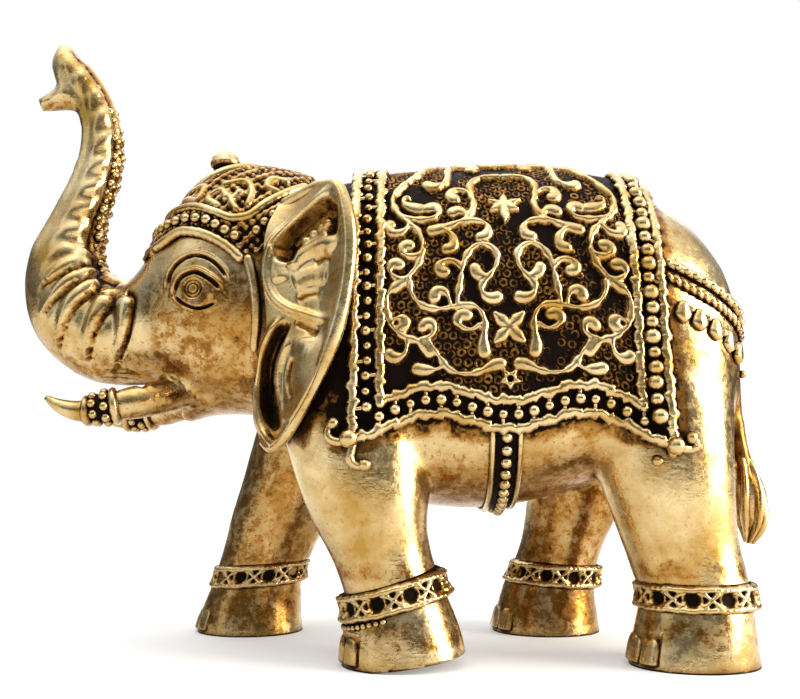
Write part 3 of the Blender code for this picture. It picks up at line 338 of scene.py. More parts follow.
# Half of the scrolling vine, on the cloth laid flat: x, length from the spine, heading, then arcs.
# A heading of 0 runs rearwards and 90 runs down; an arc is its length and the degrees it turns.
SCROLLS = (
    (4.4, 8.4, 126, ((7.0, 0), (3.0, -50), (4.0, -36), (1.6, 16), (2.4, 30), (3.0, 32),
                     (2.6, 26), (1.8, 0))),
    (1.2, 29.0, 160, ((1.0, 0), (2.2, -60), (2.2, -22), (2.6, -28), (2.2, -32), (1.2, 10), (2.2, 30))),
    (4.0, 37.0, 38, ((1.4, 20), (2.6, 0), (2.4, -42), (2.4, -30), (1.8, -15), (1.6, 25))),
    (0.2, 18.2, 52, ((3.0, -42), (2.2, -16), (2.2, -110), (1.4, -100))),
    (1.9, 15.8, 215, ((1.2, -130), (1.2, -60), (1.8, -10))),
    (1.9, 20.2, 95, ((1.3, 45), (1.5, 55), (1.2, 60), (0.6, 60))),
    (3.9, 24.6, 125, ((1.5, 45), (1.6, 50), (1.3, 90), (0.9, 80))),
    (1.8, 28.5, 165, ((1.8, 45), (1.4, 45), (1.2, 80), (0.9, 80))),
    (2.0, 29.0, 98, ((2.2, -38), (2.4, -38), (2.4, -28), (2.0, -4), (1.4, 20), (1.8, 50),
                     (2.0, 36), (1.8, 0), (1.6, -20))),
    (11.0, 35.4, 130, ((1.4, 50), (1.8, 60), (1.3, 90), (0.9, 70))),
    (7.3, 32.8, 268, ((2.0, -30), (1.3, -80), (1.0, -90))),
    (8.1, 32.6, 278, ((5.8, 4), (2.6, 36), (2.4, 70), (2.2, 64), (2.0, 34), (1.8, 10),
                      (1.0, -40), (1.4, -60), (1.6, -60))),
    (12.4, 29.0, 190, ((1.2, 20), (1.2, 50))),
    (8.6, 27.4, 256, ((1.4, -60), (1.4, -40), (1.0, -80), (0.9, -70))),
    (14.7, 11.6, 182, ((1.6, -8), (2.4, -42), (2.4, -58), (2.2, 14), (2.0, 30), (2.4, 40), (3.8, 14))),
    (10.5, 16.6, 268, ((1.6, -45), (1.6, -55), (1.2, -80), (0.9, -70))),
    (9.6, 19.6, 268, ((1.3, -70), (1.1, -60))),
    (7.6, 20.9, -22, ((2.4, 18), (2.2, 34), (1.6, 80), (1.3, 60))),
    (6.4, 21.6, 22, ((1.8, 40), (1.4, 50), (1.0, 80))),
    (7.5, 10.6, 88, ((1.8, 20), (1.8, 60), (1.6, 60))),
    (3.4, 36.9, 5, ((1.4, -45), (1.2, -60), (1.1, -80), (0.8, -70))),
    (1.5, 36.6, 78, ((1.6, 30), (1.4, 65), (1.4, 60))),
    (-0.7, 34.5, -60, ((1.3, 50), (1.1, 80), (1.0, 90))),
    (6.2, 40.4, 112, ((1.0, 60), (2.6, 28))),
    (4.2, 8.7, -55, ((3.6, -20), (3.0, 60), (2.6, 70), (1.8, 90))),
    (7.5, 10.8, -92, ((3.0, 20), (2.4, 60), (2.2, 80), (1.4, 90))),
    (14.7, 6.5, 182, ((2.4, 40), (2.2, 60), (1.6, 80))),
)
# Motifs on the cloth's middle line: length from the spine, whether there is a hole in the middle, and the
# petals, each as its heading, its length and its half widths at the root, past the middle and at the tip
MOTIFS = (
    (17.6, False, ((90, 3.2, 0.5, 0.85, 0.12), (-90, 1.6, 0.5, 0.8, 0.2), (150, 2.3, 0.4, 0.8, 0.12),
                   (30, 2.3, 0.4, 0.8, 0.12), (195, 2.5, 0.35, 0.6, 0.1), (-15, 2.5, 0.35, 0.6, 0.1))),
    (35.8, False, tuple((turn, 2.6, 0.5, 1.05, 0.5) for turn in (45, 135, 225, 315))),
    (42.6, True, tuple((turn, 1.25, 0.75, 0.62, 0.25) for turn in (18, 90, 162, 234, 306))),
    (2.6, False, tuple((turn, 2.6, 0.45, 0.85, 0.3) for turn in (45, 135, 225, 315))),
)
# Curls at the hem's corners, written as the vine is
CORNERS = (
    (-4.6, 48.6, 160, ((2.2, 20), (2.2, 70), (1.8, 90))),
    (-5.0, 49.0, 110, ((2.2, -10), (1.8, -60), (1.4, -80))),
    (34.6, 48.6, 20, ((2.2, -20), (2.2, -70), (1.8, -90))),
    (35.0, 49.0, 70, ((2.2, 10), (1.8, 60), (1.4, 80))),
)

# Lines cut or raised on the animal's skin, as x and height, seen from the side
UPPER_LID = ((-31.2, 49.7), (-30.1, 52.1), (-28.2, 52.8), (-26.2, 51.9), (-24.3, 50.3))
LOWER_LID = ((-31.2, 49.7), (-29.4, 48.3), (-27.6, 47.7), (-26.3, 47.9), (-25.0, 48.5))
BROW = ((-32.2, 50.7), (-31.8, 53.0), (-30.4, 54.6), (-28.4, 55.3), (-26.2, 54.7), (-24.5, 53.3),
        (-23.4, 51.7))
IRIS = (-28.3, 50.5)
MOUTH = ((-48.4, 38.5), (-42.6, 38.7), (-38.4, 38.4), (-35.4, 37.2))
TRUNK_FOLDS = (
    ((-46.5, 57.2), (-49.3, 55.2), (-52.3, 52.6)),
    ((-46.1, 55.0), (-48.8, 52.5), (-52.0, 48.4)),
    ((-45.4, 52.6), (-47.5, 49.8), (-49.7, 43.7)),
    ((-42.8, 49.8), (-44.0, 47.1), (-45.2, 41.7)),
    ((-39.4, 49.2), (-39.6, 44.9), (-41.1, 40.5)),
)
CRUPPER = (
    ((36.4, 53.6), (41.0, 51.6), (46.2, 48.9), (49.2, 46.4)),
    ((36.4, 51.6), (41.0, 49.4), (46.6, 46.4), (49.4, 43.8)),
)
CRUPPER_DROPS = ((38.6, 47.2), (41.0, 46.2), (43.4, 45.0), (45.6, 43.6), (47.4, 42.2))
LOWER_BAND = ((-21.2, 54.2), (-23.5, 56.4), (-25.8, 57.8), (-28.1, 58.7), (-30.7, 59.0), (-33.3, 57.6))
LOWER_CROWN = -37.2
UPPER_BAND = ((-13.0, 66.3), (-15.7, 64.7), (-18.6, 62.7), (-20.9, 60.8), (-22.9, 60.5), (-25.5, 61.5),
              (-28.5, 62.7), (-31.4, 62.9))
UPPER_CROWN = -34.6
BEAD_LINE = ((-22.4, 57.7), (-24.4, 58.9), (-26.3, 60.1), (-28.1, 60.6), (-29.9, 60.7), (-31.5, 60.4))
BEAD_CROWN = -35.9
REAR_BEAD_LINE = ((-13.4, 63.6), (-15.6, 62.2), (-17.6, 60.4), (-19.4, 58.4))
EAR_STRAP = ((-20.8, 55.2), (-20.0, 52.6), (-19.4, 49.2), (-19.3, 45.3), (-19.6, 41.6))
BAND_WIDTH = 1.5
CAP_FRONT = -37.6
CAP_REAR = -12.0
CAP_ROWS = 125
CAP_COLUMNS = 217
CAP_LIFT = 0.45
CAP_SCROLL_WIDTH = 1.2
CAP_SCROLL_HEIGHT = 0.75
CAP_EDGE = ((-12.0, 62.0), (-16.0, 58.0), (-19.0, 55.0), (-21.4, 54.5), (-23.5, 56.6), (-25.8, 58.0),
            (-28.1, 58.9), (-30.7, 59.0), (-33.3, 57.8), (-34.9, 56.0), (-37.6, 55.0))
CAP_SCROLLS = (
    ((-21.0, 62.6), (-20.6, 64.8), (-21.6, 66.6), (-24.6, 66.2)),
    ((-25.4, 62.6), (-26.8, 64.0), (-25.2, 65.2), (-24.2, 64.0)),
    ((-30.6, 64.4), (-28.4, 64.0), (-27.8, 65.8), (-29.8, 66.2)),
    ((-17.0, 64.8), (-18.6, 65.8), (-18.0, 67.2), (-16.2, 66.8)),
    ((-22.6, 61.9), (-23.4, 63.4), (-22.4, 64.6)),
)
TRUNK_STRIP = ((-49.2, 88.3), (-47.2, 85.9), (-45.5, 83.3), (-43.9, 80.0), (-43.1, 76.4), (-43.0, 72.2),
               (-43.9, 67.7), (-44.7, 64.8), (-45.2, 60.7), (-45.0, 56.8), (-43.1, 54.2), (-39.6, 53.9),
               (-37.4, 56.2))

# The finial's outline as radius and height over the head, and the patina at each of its places
FINIAL_AT = -26.6
FINIAL_PROFILE = ((0.0, 4.5), (0.8, 4.4), (1.6, 4.0), (2.15, 3.35), (2.4, 2.5), (2.3, 2.0), (1.95, 1.75),
                  (1.85, 1.4), (1.9, 0.6), (2.0, -0.6))
FINIAL_DARK = (0, 0, 0, 0, 0.1, 0.7, 1, 1, 1, 1)
FINIAL_SIDES = 48
FINIAL_PETALS = 11
FINIAL_RING = 5.6


def smooth_curve(knots, values, at):
    """Values read along a cubic Hermite curve through the knots, with slopes from their neighbours."""
    slopes = np.gradient(values, knots, axis=0)
    index = np.clip(np.searchsorted(knots, at) - 1, 0, len(knots) - 2)
    step = (knots[index + 1] - knots[index])[:, None]
    t = (at - knots[index])[:, None] / step
    return (
        (2 * t**3 - 3 * t**2 + 1) * values[index]
        + (t**3 - 2 * t**2 + t) * step * slopes[index]
        + (3 * t**2 - 2 * t**3) * values[index + 1]
        + (t**3 - t**2) * step * slopes[index + 1]
    )


def resample(rows, step=None, count=None):
    """A smooth line through the rows' points, read at equal steps of its length."""
    rows = np.asarray(rows, float)
    knots = np.r_[0.0, np.cumsum(np.linalg.norm(np.diff(rows[:, :3], axis=0), axis=1))]
    count = count or max(3, int(knots[-1] / step) + 2)
    return smooth_curve(knots, rows, np.linspace(0.0, knots[-1], count))


def resample_flat(line, step):
    """A smooth line through places in a plane, read at equal steps of its length."""
    return resample(np.c_[np.array(line, float), np.zeros(len(line))], step=step)[:, :2]


def unit(vectors):
    """The vectors' directions, each of length 1."""
    return vectors / np.maximum(np.linalg.norm(vectors, axis=-1, keepdims=True), 1e-9)


def ease(values, low, high):
    """0 below low, 1 above high, and a smooth step between them."""
    t = np.clip((values - low) / (high - low), 0.0, 1.0)
    return t * t * (3 - 2 * t)


def window(values, low, high, soft):
    """1 between low and high, falling to 0 over a soft edge on each side."""
    return ease(values, low - soft, low) * (1 - ease(values, high, high + soft))


def arch(share):
    """1 in the middle of a stroke, falling as a parabola, 1 - share^2, to 0 at its half width."""
    return np.clip(1 - share**2, 0.0, 1.0)


def dome(share):
    """1 in the middle of a stroke, falling as a half circle to 0 at its half width."""
    return np.sqrt(arch(share))


def turns(count):
    """That many equal turns about a circle."""
    return np.linspace(0.0, 2 * math.pi, count, endpoint=False)


def run_of(path):
    """The length along a path up to each of its points."""
    return np.r_[0.0, np.cumsum(np.linalg.norm(np.diff(path, axis=0), axis=1))]


def superellipse(turn, power):
    """How far across and how far up the outline of a superellipse lies, from -1 to 1."""
    return [np.sign(way) * np.abs(way) ** (2 / power) for way in (np.sin(turn), np.cos(turn))]


class Form:
    """A body of superellipse sections along X. Its skin is read off a table by length or by height."""

    STEP = 0.25
    WAIST = 45  # a height between every form's top and bottom

    def __init__(self, stations, power):
        rows = np.array(sorted(stations))
        self.x, self.values, self.power = rows[:, 0], rows[:, 1:], power
        self.columns = np.linspace(self.x[0], self.x[-1], int((self.x[-1] - self.x[0]) / self.STEP) + 1)
        self.pitch = self.columns[1] - self.columns[0]
        top, bottom, half, middle = (v[:, None] for v in smooth_curve(self.x, self.values, self.columns).T)
        across, rise = superellipse(np.linspace(0.0, math.pi, 321), power)
        y = half * across
        z = middle + np.where(rise > 0, top - middle, middle - bottom) * rise
        steps = np.hypot(np.diff(y), np.diff(z))
        run = np.concatenate((np.zeros((len(y), 1)), np.cumsum(steps, axis=1)), axis=1)
        self.lengths = np.arange(0.0, run.max() + self.STEP, self.STEP)
        self.heights = np.arange(z.min() - self.STEP, z.max() + self.STEP, self.STEP)
        by_length = [np.interp(self.lengths, r, v) for rows in (y, z) for r, v in zip(run, rows)]
        self.by_length = np.array(by_length).reshape(2, len(y), -1)
        by_height = [np.interp(self.heights, v[::-1], r[::-1]) for v, r in zip(z, run)]
        self.by_height = np.array(by_height)

    def section(self, x):
        """Top, bottom, half width and the height of the widest place at x."""
        x = np.clip(np.atleast_1d(np.asarray(x, float)), self.x[0], self.x[-1])
        return smooth_curve(self.x, self.values, x)

    def look_up(self, table, x, along, start):
        """A table over x and a length or height, read between its entries."""
        column = np.clip((x - self.x[0]) / self.pitch, 0, len(self.columns) - 1.001)
        row = np.clip((along - start) / self.STEP, 0, table.shape[-1] - 1.001)
        i, j = column.astype(int), row.astype(int)
        u, v = column - i, row - j
        low = table[..., i, j] * (1 - v) + table[..., i, j + 1] * v
        high = table[..., i + 1, j] * (1 - v) + table[..., i + 1, j + 1] * v
        return low * (1 - u) + high * u

    def length_at(self, x, height):
        """How far down the skin from the spine a height lies."""
        x, height = np.asarray(x, float), np.asarray(height, float)
        return self.look_up(self.by_height, x, height, self.heights[0])

    def skin(self, x, along, side):
        """Places on the skin at x and a length down from the spine."""
        y, z = self.look_up(self.by_length, x, along, 0.0)
        return np.stack((x, side * y, z), axis=-1)

    def place(self, x, along, side=1, lift=0.0):
        """Places at x and a length down from the spine, lifted off the skin, and the way out of it."""
        x, along, side = np.broadcast_arrays(np.asarray(x, float), np.asarray(along, float), side)
        side = np.where(along < 0, -side, side)
        along = np.abs(along)
        x = np.clip(x, self.x[0] + 0.01, self.x[-1] - 0.01)
        middle = self.skin(x, along, side)
        step = 0.4
        ahead = self.skin(x + step, along, side) - self.skin(x - step, along, side)
        down = self.skin(x, along + step, side) - self.skin(x, np.maximum(along - step, 0.0), side)
        down[..., 1] += np.where(along < step, side * (step - along), 0.0) * 0.5
        out = unit(np.cross(ahead, down)) * side[..., None]
        away = out[..., 1] * side + 0.2 * np.sign(out[..., 2] * (middle[..., 2] - self.WAIST))
        out *= np.where(away < 0, -1, 1)[..., None]
        return middle + out * np.asarray(lift)[..., None], out

    def rings(self, step, sides):
        """Closed sections along the form."""
        x = np.linspace(self.x[0], self.x[-1], int((self.x[-1] - self.x[0]) / step) + 2)
        across, rise = superellipse(turns(sides), self.power)
        top, bottom, half, middle = (column[:, None] for column in self.section(x).T)
        z = middle + np.where(rise > 0, top - middle, middle - bottom) * rise
        return np.stack((np.broadcast_to(x[:, None], z.shape), half * across, z), axis=-1)


def limb_frame(path):
    """The two directions square to a limb's line: across the figure, and out in the limb's plane."""
    ahead = unit(np.gradient(path, axis=0))
    lateral = unit(np.cross(ahead, np.cross([0.0, 1.0, 0.0], ahead)))
    return lateral, np.cross(lateral, ahead)


def limb_rings(stations, count, sides):
    """Elliptical sections square to a limb's own line."""
    rows = resample(stations, count=count)
    lateral, outward = limb_frame(rows[:, :3])
    turn = turns(sides)[None, :, None]
    wide = lateral[:, None] * rows[:, 3, None, None] * np.cos(turn)
    return rows[:, None, :3] + wide + outward[:, None] * rows[:, 4, None, None] * np.sin(turn)


def leg_rows(leg, side):
    """A leg's stations with the foot's spread worked in."""
    return np.array(leg) * (1, FOOT_SPREAD * side, 1, 1, 1)


def sided(stations, side):
    """A limb's stations on one side of the figure."""
    return np.array(stations) * (1, side, 1, 1, 1)


def walk(x, along, heading, arcs, step=0.2):
    """A line of arcs laid end to end: each arc is a length and the degrees it turns through."""
    points = [(x, along)]
    angle = math.radians(heading)
    for length, turn in arcs:
        pieces = max(1, round(length / step))
        bend = math.radians(turn) / pieces
        for _ in range(pieces):
            angle += bend / 2
            run = length / pieces
            points.append((points[-1][0] + run * math.cos(angle), points[-1][1] + run * math.sin(angle)))
            angle += bend / 2
    return np.array(points)


# Meshes. A surface is its points, quads, triangles and patina and painted shade, 1 where the metal is dark.


def grid_quads(rows, columns, round_rows=False, round_columns=False):
    """The quads of a grid of points, in one array."""
    i = np.arange(rows if round_rows else rows - 1)[:, None]
    j = np.arange(columns if round_columns else columns - 1)[None, :]
    corners = ((i, j), (i + 1, j), (i + 1, j + 1), (i, j + 1))
    return np.stack([(a % rows) * columns + b % columns for a, b in corners], axis=-1).reshape(-1, 4)


def join(surfaces):
    """Several surfaces as one."""
    points, quads, triangles, patina = [], [], [], []
    count = 0
    for p, q, t, dark in surfaces:
        points.append(p)
        quads.append(q + count)
        triangles.append(t + count)
        patina.append(np.broadcast_to(dark, len(p)))
        count += len(p)
    return tuple(np.concatenate(part) for part in (points, quads, triangles, patina))


NONE = np.zeros((0, 3), int)


def closed_rings(rings, patina=0.0):
    """A surface through closed rings of points, with a middle point closing each end."""
    count, sides = rings.shape[:2]
    ends = np.stack((rings[0].mean(axis=0), rings[-1].mean(axis=0)))
    j = np.arange(sides)
    nxt = (j + 1) % sides
    end = (count - 1) * sides
    first = np.stack((np.full(sides, count * sides), j, nxt), axis=-1)
    last = np.stack((np.full(sides, count * sides + 1), end + nxt, end + j), axis=-1)
    dark = np.broadcast_to(patina, (count, sides)).reshape(-1)
    dark = np.r_[dark, dark[:sides].mean(), dark[-sides:].mean()]
    points = np.concatenate((rings.reshape(-1, 3), ends))
    return points, grid_quads(count, sides, round_columns=True), np.concatenate((first, last)), dark


def tube(path, out, width, height, sides=10, blunt=True, twist=None, patina=None):
    """A rounded bar along a path: an ellipse of that width and height, with rounded ends.

    twist = (pitch, strands, depth) winds grooves round it like a rope's.
    """
    run = run_of(path)
    ahead = unit(np.gradient(path, axis=0))
    across = unit(np.cross(ahead, out))
    up = np.cross(across, ahead)
    width = np.broadcast_to(width, len(path)) / 2
    height = np.broadcast_to(height, len(path)) / 2
    if blunt:
        end = np.minimum(run, run[-1] - run)
        cap = np.sqrt(np.clip(1 - (1 - end / np.maximum(width, 1e-6)) ** 2, 0.02, 1.0))
        cap = np.where(end < width, cap, 1.0)
    else:
        cap = np.ones(len(path))
    turn = turns(sides)[None]
    size = np.ones((len(path), sides))
    dark = np.zeros((len(path), sides))
    if twist:
        pitch, strands, depth = twist
        wave = np.cos(strands * (turn + 2 * math.pi * run[:, None] / pitch))
        size = 1 - depth * (1 - wave) / 2
        dark = ease(-wave, 0.1, 0.95)
    a = (np.cos(turn) * size * (width * cap)[:, None])[..., None]
    b = (np.sin(turn) * size * (height * cap)[:, None])[..., None]
    rings = path[:, None] + across[:, None] * a + up[:, None] * b
    # Painted shade: the side facing the surface below is darker, with the patina left where they meet
    low = ease(-np.sin(turn), -0.3, 0.6) * 0.9
    dark = np.maximum(dark, low) if patina is None else np.broadcast_to(patina, dark.shape)
    return closed_rings(rings, dark)


def cube_sphere(count):
    """A ball of radius 1 made of six square grids of directions, as points and quads."""
    line = np.tan(np.linspace(-1, 1, count + 1) * math.pi / 4)
    a, b = np.meshgrid(line, line, indexing="ij")
    one = np.ones_like(a)
    sides = ((a, b, one), (b, a, -one), (one, a, b), (-one, b, a), (b, one, a), (a, -one, b))
    points = unit(np.concatenate([np.stack(side, axis=-1).reshape(-1, 3) for side in sides]))
    quads = np.concatenate([grid_quads(count + 1, count + 1) + k * (count + 1) ** 2 for k in range(6)])
    _, first, back = np.unique(points.round(6), axis=0, return_index=True, return_inverse=True)
    return points[first], back.reshape(-1)[quads]


BALL, BALL_QUADS = cube_sphere(3)


def balls(places, out, diameter, rise=0.25, height=1.0):
    """Beads seated on a skin: each a ball of that diameter, its middle raised by a share of it."""
    places, out = np.atleast_2d(places), np.atleast_2d(out)
    side = unit(np.cross(out, (0.31, 0.17, 0.93)))
    front = np.cross(out, side)
    size = np.broadcast_to(diameter, len(places))[:, None, None] / 2
    local = side[:, None] * BALL[None, :, :1] + front[:, None] * BALL[None, :, 1:2]
    local = local + out[:, None] * BALL[None, :, 2:] * height
    points = (places + out * (size[:, 0] * 2 * rise))[:, None] + local * size
    # Painted shade: each bead's half facing the skin is darker, with the patina left where they meet
    low = ease(-BALL[:, 2], -0.35, 0.45)
    quads = BALL_QUADS[None] + (np.arange(len(places)) * len(BALL))[:, None, None]
    return points.reshape(-1, 3), quads.reshape(-1, 4), NONE, np.tile(low, len(places))


def add_object(name, data):
    """A new object with that data, in the scene."""
    thing = bpy.data.objects.new(name, data)
    bpy.context.scene.collection.objects.link(thing)
    return thing


def read(items, name, width, kind=np.float32):
    """One property of all of a mesh's items, in rows of that width."""
    values = np.empty(len(items) * width, kind)
    items.foreach_get(name, values)
    return values.reshape(-1, width)


def add_mesh(name, surface, material):
    """A piece of the figure from a surface in millimetres, riding on its one body."""
    points, quads, triangles, patina = surface
    mesh = bpy.data.meshes.new(name)
    mesh.vertices.add(len(points))
    mesh.vertices.foreach_set("co", ((points + (SHIFT, 0.0, 0.0)) * MM).astype(np.float32).ravel())
    loops = np.concatenate((quads.ravel(), triangles.ravel()))
    starts = np.r_[np.arange(len(quads)) * 4, len(quads) * 4 + np.arange(len(triangles)) * 3]
    mesh.loops.add(len(loops))
    mesh.loops.foreach_set("vertex_index", loops.astype(np.int32))
    mesh.polygons.add(len(starts))
    mesh.polygons.foreach_set("loop_start", starts.astype(np.int32))
    mesh.update(calc_edges=True)
    mesh.validate()
    set_patina_and_shade(mesh, patina)
    mesh.shade_smooth()
    finish_piece(add_object(name, mesh), material)


def set_patina_and_shade(mesh, patina):
    """The share of patina and painted shade at each of the mesh's points, for the finish to read."""
    field = mesh.attributes.new("patina", "FLOAT", "POINT")
    field.data.foreach_set("value", np.ascontiguousarray(patina, dtype=np.float32))


def finish_piece(piece, material):
    """Every piece carries the casting's finish and rides on its body."""
    face_outwards(piece.data)
    piece.data.materials.clear()
    piece.data.materials.append(material)
    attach(piece, "root")


def face_outwards(mesh):
    """The mesh's faces turned to the outside of each closed shell."""
    work = bmesh.new()
    work.from_mesh(mesh)
    bmesh.ops.recalc_face_normals(work, faces=work.faces)
    work.to_mesh(mesh)
    work.free()


torso = Form(TORSO, TORSO_POWER)
head = Form(HEAD, HEAD_POWER)


# Relief. A line is cut or raised where it runs near: its share is 1 along it and 0 at its half width.


def line_field(points, line, half):
    """Each point's distance to a line as a share of its half width there, and how far along it is."""
    line = np.asarray(line, float)
    half = np.broadcast_to(half, len(line))
    nearest = np.full(len(points), np.inf)
    along = np.zeros(len(points))
    turned = np.zeros(len(points))
    for k in range(len(line) - 1):
        edge = line[k + 1] - line[k]
        offset = points - line[k]
        t = np.clip(offset @ edge / (edge @ edge), 0.0, 1.0)
        away = offset - t[:, None] * edge
        share = np.hypot(away[:, 0], away[:, 1]) / (half[k] + (half[k + 1] - half[k]) * t)
        closer = share < nearest
        nearest = np.where(closer, share, nearest)
        along = np.where(closer, (k + t) / (len(line) - 1), along)
        turned = np.where(closer, np.sign(edge[0] * offset[:, 1] - edge[1] * offset[:, 0]), turned)
    return nearest, along, turned


def in_reach(points, line, reach):
    """Which points lie in the line's box, widened by its reach."""
    low = np.min(line, axis=0) - reach
    high = np.max(line, axis=0) + reach
    return np.nonzero(((points > low) & (points < high)).all(axis=1))[0]


def raise_line(field, points, line, half, height):
    """The field raised to a round-topped line where that is higher."""
    near = in_reach(points, line, np.max(half))
    share, _, _ = line_field(points[near], line, half)
    field[near] = np.maximum(field[near], height * dome(share))


def press(move, dark, points, line, half, amount, shade, soft_end=0.12):
    """A soft round ridge (amount above 0) or hollow (below) along a line, with its share of patina."""
    line = resample_flat(line, 0.35)
    near = in_reach(points, line, np.max(half) * 1.1)
    share, along, _ = line_field(points[near], line, half)
    ends = ease(along, 0.0, soft_end) * ease(1 - along, 0.0, soft_end)
    soft = arch(share) ** 1.4 * ends
    move[near] += amount * soft
    dark[near] = np.maximum(dark[near], shade * soft**1.2) if amount < 0 else dark[near] * (1 - soft)


def hem(x):
    """How far the hem lies from the spine at x: two arches between the corners and the middle."""
    share = (np.asarray(x) - CLOTH_FRONT) / (CLOTH_REAR - CLOTH_FRONT)
    return HEM_LENGTH - HEM_RISE * (1 - np.cos(4 * math.pi * share)) / 2


def vine_strokes():
    """Every stroke of the vine on one flank: its line and half widths, swelling to a bulb at its end."""
    for number, stroke in enumerate(SCROLLS):
        line = walk(*stroke)
        run = run_of(line)
        bulb = ease(run, run[-1] - 2.6, run[-1] - 0.7)
        half = VINE_WIDTH / 2 * (0.8 + 0.22 * np.sin(run * 1.3 + number) + 0.12 * np.sin(run * 3.7))
        half = half * (0.75 + 0.25 * ease(run, 0.0, 1.5))
        half = half * (1 - bulb) + VINE_BULB / 2 * bulb
        for points in (line, line * (-1, 1) + (2 * CLOTH_MIDDLE, 0)):
            yield points, half


def petals():
    """Every petal of the motifs: its line and half widths."""
    for along, _, shapes in MOTIFS:
        for heading, length, *widths in shapes:
            line = walk(CLOTH_MIDDLE, along, heading, ((length, 0),))
            yield line, np.interp(np.linspace(0.0, 1.0, len(line)), (0.0, 0.55, 1.0), widths)


def cloth_relief(x, along):
    """Height over the cloth's ground and patina at places on the cloth laid flat.

    The vine is a round-topped ridge along each stroke, with a bulb at its end. Small rings in
    staggered rows cover the ground between, worn away here and there, and two lanes along the
    edges hold the beads.
    """
    points = np.stack((x.ravel(), along.ravel()), axis=-1)
    vine = np.zeros(len(points))
    for line, half in vine_strokes():
        raise_line(vine, points, line, half, VINE_HEIGHT)
    for line, half in petals():
        raise_line(vine, points, line, half, VINE_HEIGHT * 0.95)
    for middle, hole, _ in MOTIFS:
        if hole:
            away = np.hypot(points[:, 0] - CLOTH_MIDDLE, points[:, 1] - middle)
            vine *= ease(away, MOTIF_HOLE * 0.6, MOTIF_HOLE * 1.3)
    row = np.round(points[:, 1] / RING_ROW_PITCH)
    shift = (row % 2) * RING_PITCH / 2
    column = np.round((points[:, 0] - shift) / RING_PITCH)
    sway = 0.16 * np.stack((np.sin(column * 12.9 + row * 7.7), np.sin(column * 5.3 + row * 17.1)), axis=-1)
    centre = np.stack((column * RING_PITCH + shift, row * RING_ROW_PITCH), axis=-1) + sway
    from_centre = np.hypot(*(points - centre).T)
    ring = dome((from_centre - RING_RADIUS) / RING_LINE)
    patch = np.sin(points[:, 0] * 0.33 + 1.1) * np.sin(points[:, 1] * 0.29 - 0.6)
    worn = 0.5 + 0.5 * np.sin(column * 3.1 + row * 5.7 + np.sin(column * 1.7) * 3.0)
    ring = ring * np.clip(0.18 + 0.62 * worn + 0.5 * patch, 0.05, 1.0)
    edge_x = np.minimum(points[:, 0] - CLOTH_FRONT, CLOTH_REAR - points[:, 0])
    edge_s = hem(points[:, 0]) - points[:, 1]
    edge = np.minimum(edge_x, edge_s)
    lane = ROPE_INSET + BORDER_WIDTH
    inside = ease(edge, lane - 0.2, lane + 0.3)
    between = ease(edge, ROPE_INSET, ROPE_INSET + 0.3) * (1 - inside)
    relief = np.maximum(vine, 0.3 * ring) * inside
    height = relief - GROUND_DEPTH * inside - GROUND_DEPTH * 0.7 * between
    bare = (1 - ease(vine, 0.22, 0.7)) * (1 - 0.5 * ring * (vine < 0.2))
    dark = np.maximum(np.where(inside > 0.5, bare, 0.0), between)
    return height.reshape(x.shape), dark.reshape(x.shape)


def rail(run):
    """A rail's width along its run: cast a little unevenly, with small teeth on its edges."""
    tooth = np.maximum(np.cos(2 * math.pi * run / BEAD_PITCH), 0.0) ** 3
    return RAIL_WIDTH * (0.86 + 0.34 * tooth + 0.08 * np.sin(run * 2.3) + 0.06 * np.sin(run * 5.9))


def make_cloth(side):
    """One flank of the saddle cloth: the body's form, lifted by the cloth and by its relief."""
    x = np.linspace(CLOTH_FRONT, CLOTH_REAR, CLOTH_COLUMNS)[:, None]
    share = np.linspace(0.0, 1.0, CLOTH_ROWS)[None]
    along = share * hem(x)
    x = np.broadcast_to(x, along.shape)
    height, dark = cloth_relief(x, along)
    rim = np.minimum.reduce((x - CLOTH_FRONT, CLOTH_REAR - x, hem(x) - along))
    height = height - 0.8 * (1 - dome((1 - rim / 0.7).clip(0, 1)))
    front, _ = torso.place(x, along, side, CLOTH_THICKNESS + height)
    back_share = np.linspace(1.0, 0.0, CLOTH_BACK_ROWS)[None]
    back_along = back_share * hem(x[:, :1])
    back, _ = torso.place(np.broadcast_to(x[:, :1], back_along.shape), back_along, side, -0.8)
    rings = np.concatenate((front, back), axis=1)
    patina = np.concatenate((dark, np.ones(back.shape[:2])), axis=1)
    return closed_rings(rings, patina)


def cross_ropes():
    """Two rails and a row of beads from hem to hem over the back, in front and behind."""
    surfaces = []
    front = (CLOTH_FRONT + ROPE_INSET, 1, FRONT_BEAD_DIAMETER)
    rear = (CLOTH_REAR - ROPE_INSET, -1, REAR_BEAD_DIAMETER)
    for x, inward, size in (front, rear):
        reach = float(hem(x)) - ROPE_INSET
        for offset in (0.0, BORDER_WIDTH):
            along = np.linspace(offset - reach, reach - offset, RAIL_POINTS["cross"])
            wave = 0.1 * np.sin(along * 1.9) + 0.06 * np.sin(along * 4.3 + offset)
            path, out = over_body(x + inward * offset + wave, along, -1, CLOTH_THICKNESS - 0.1)
            surfaces.append(tube(path, out, rail(along), RAIL_HEIGHT, patina=0.0))
        count = int((reach - BORDER_WIDTH / 2) / BEAD_PITCH)
        along = (np.arange(-count, count) + 0.5) * BEAD_PITCH
        uneven = 1 + 0.12 * np.sin(np.arange(2 * count) * 2.4)
        middle = x + inward * BORDER_WIDTH / 2 + 0.12 * np.sin(np.arange(2 * count) * 1.7)
        places, out = over_body(middle, along, -1, 0.7)
        surfaces.append(balls(places, out, size * uneven))
        for start, offset in ((0, 0.0), (1, BORDER_WIDTH)):
            step = slice(start, None, 3)
            feet, _ = over_body(np.full(len(along[step]), x + inward * offset), along[step], -1, 1.0)
            surfaces += connectors(feet, places[step] + out[step] * 0.35, out[step])
    return surfaces


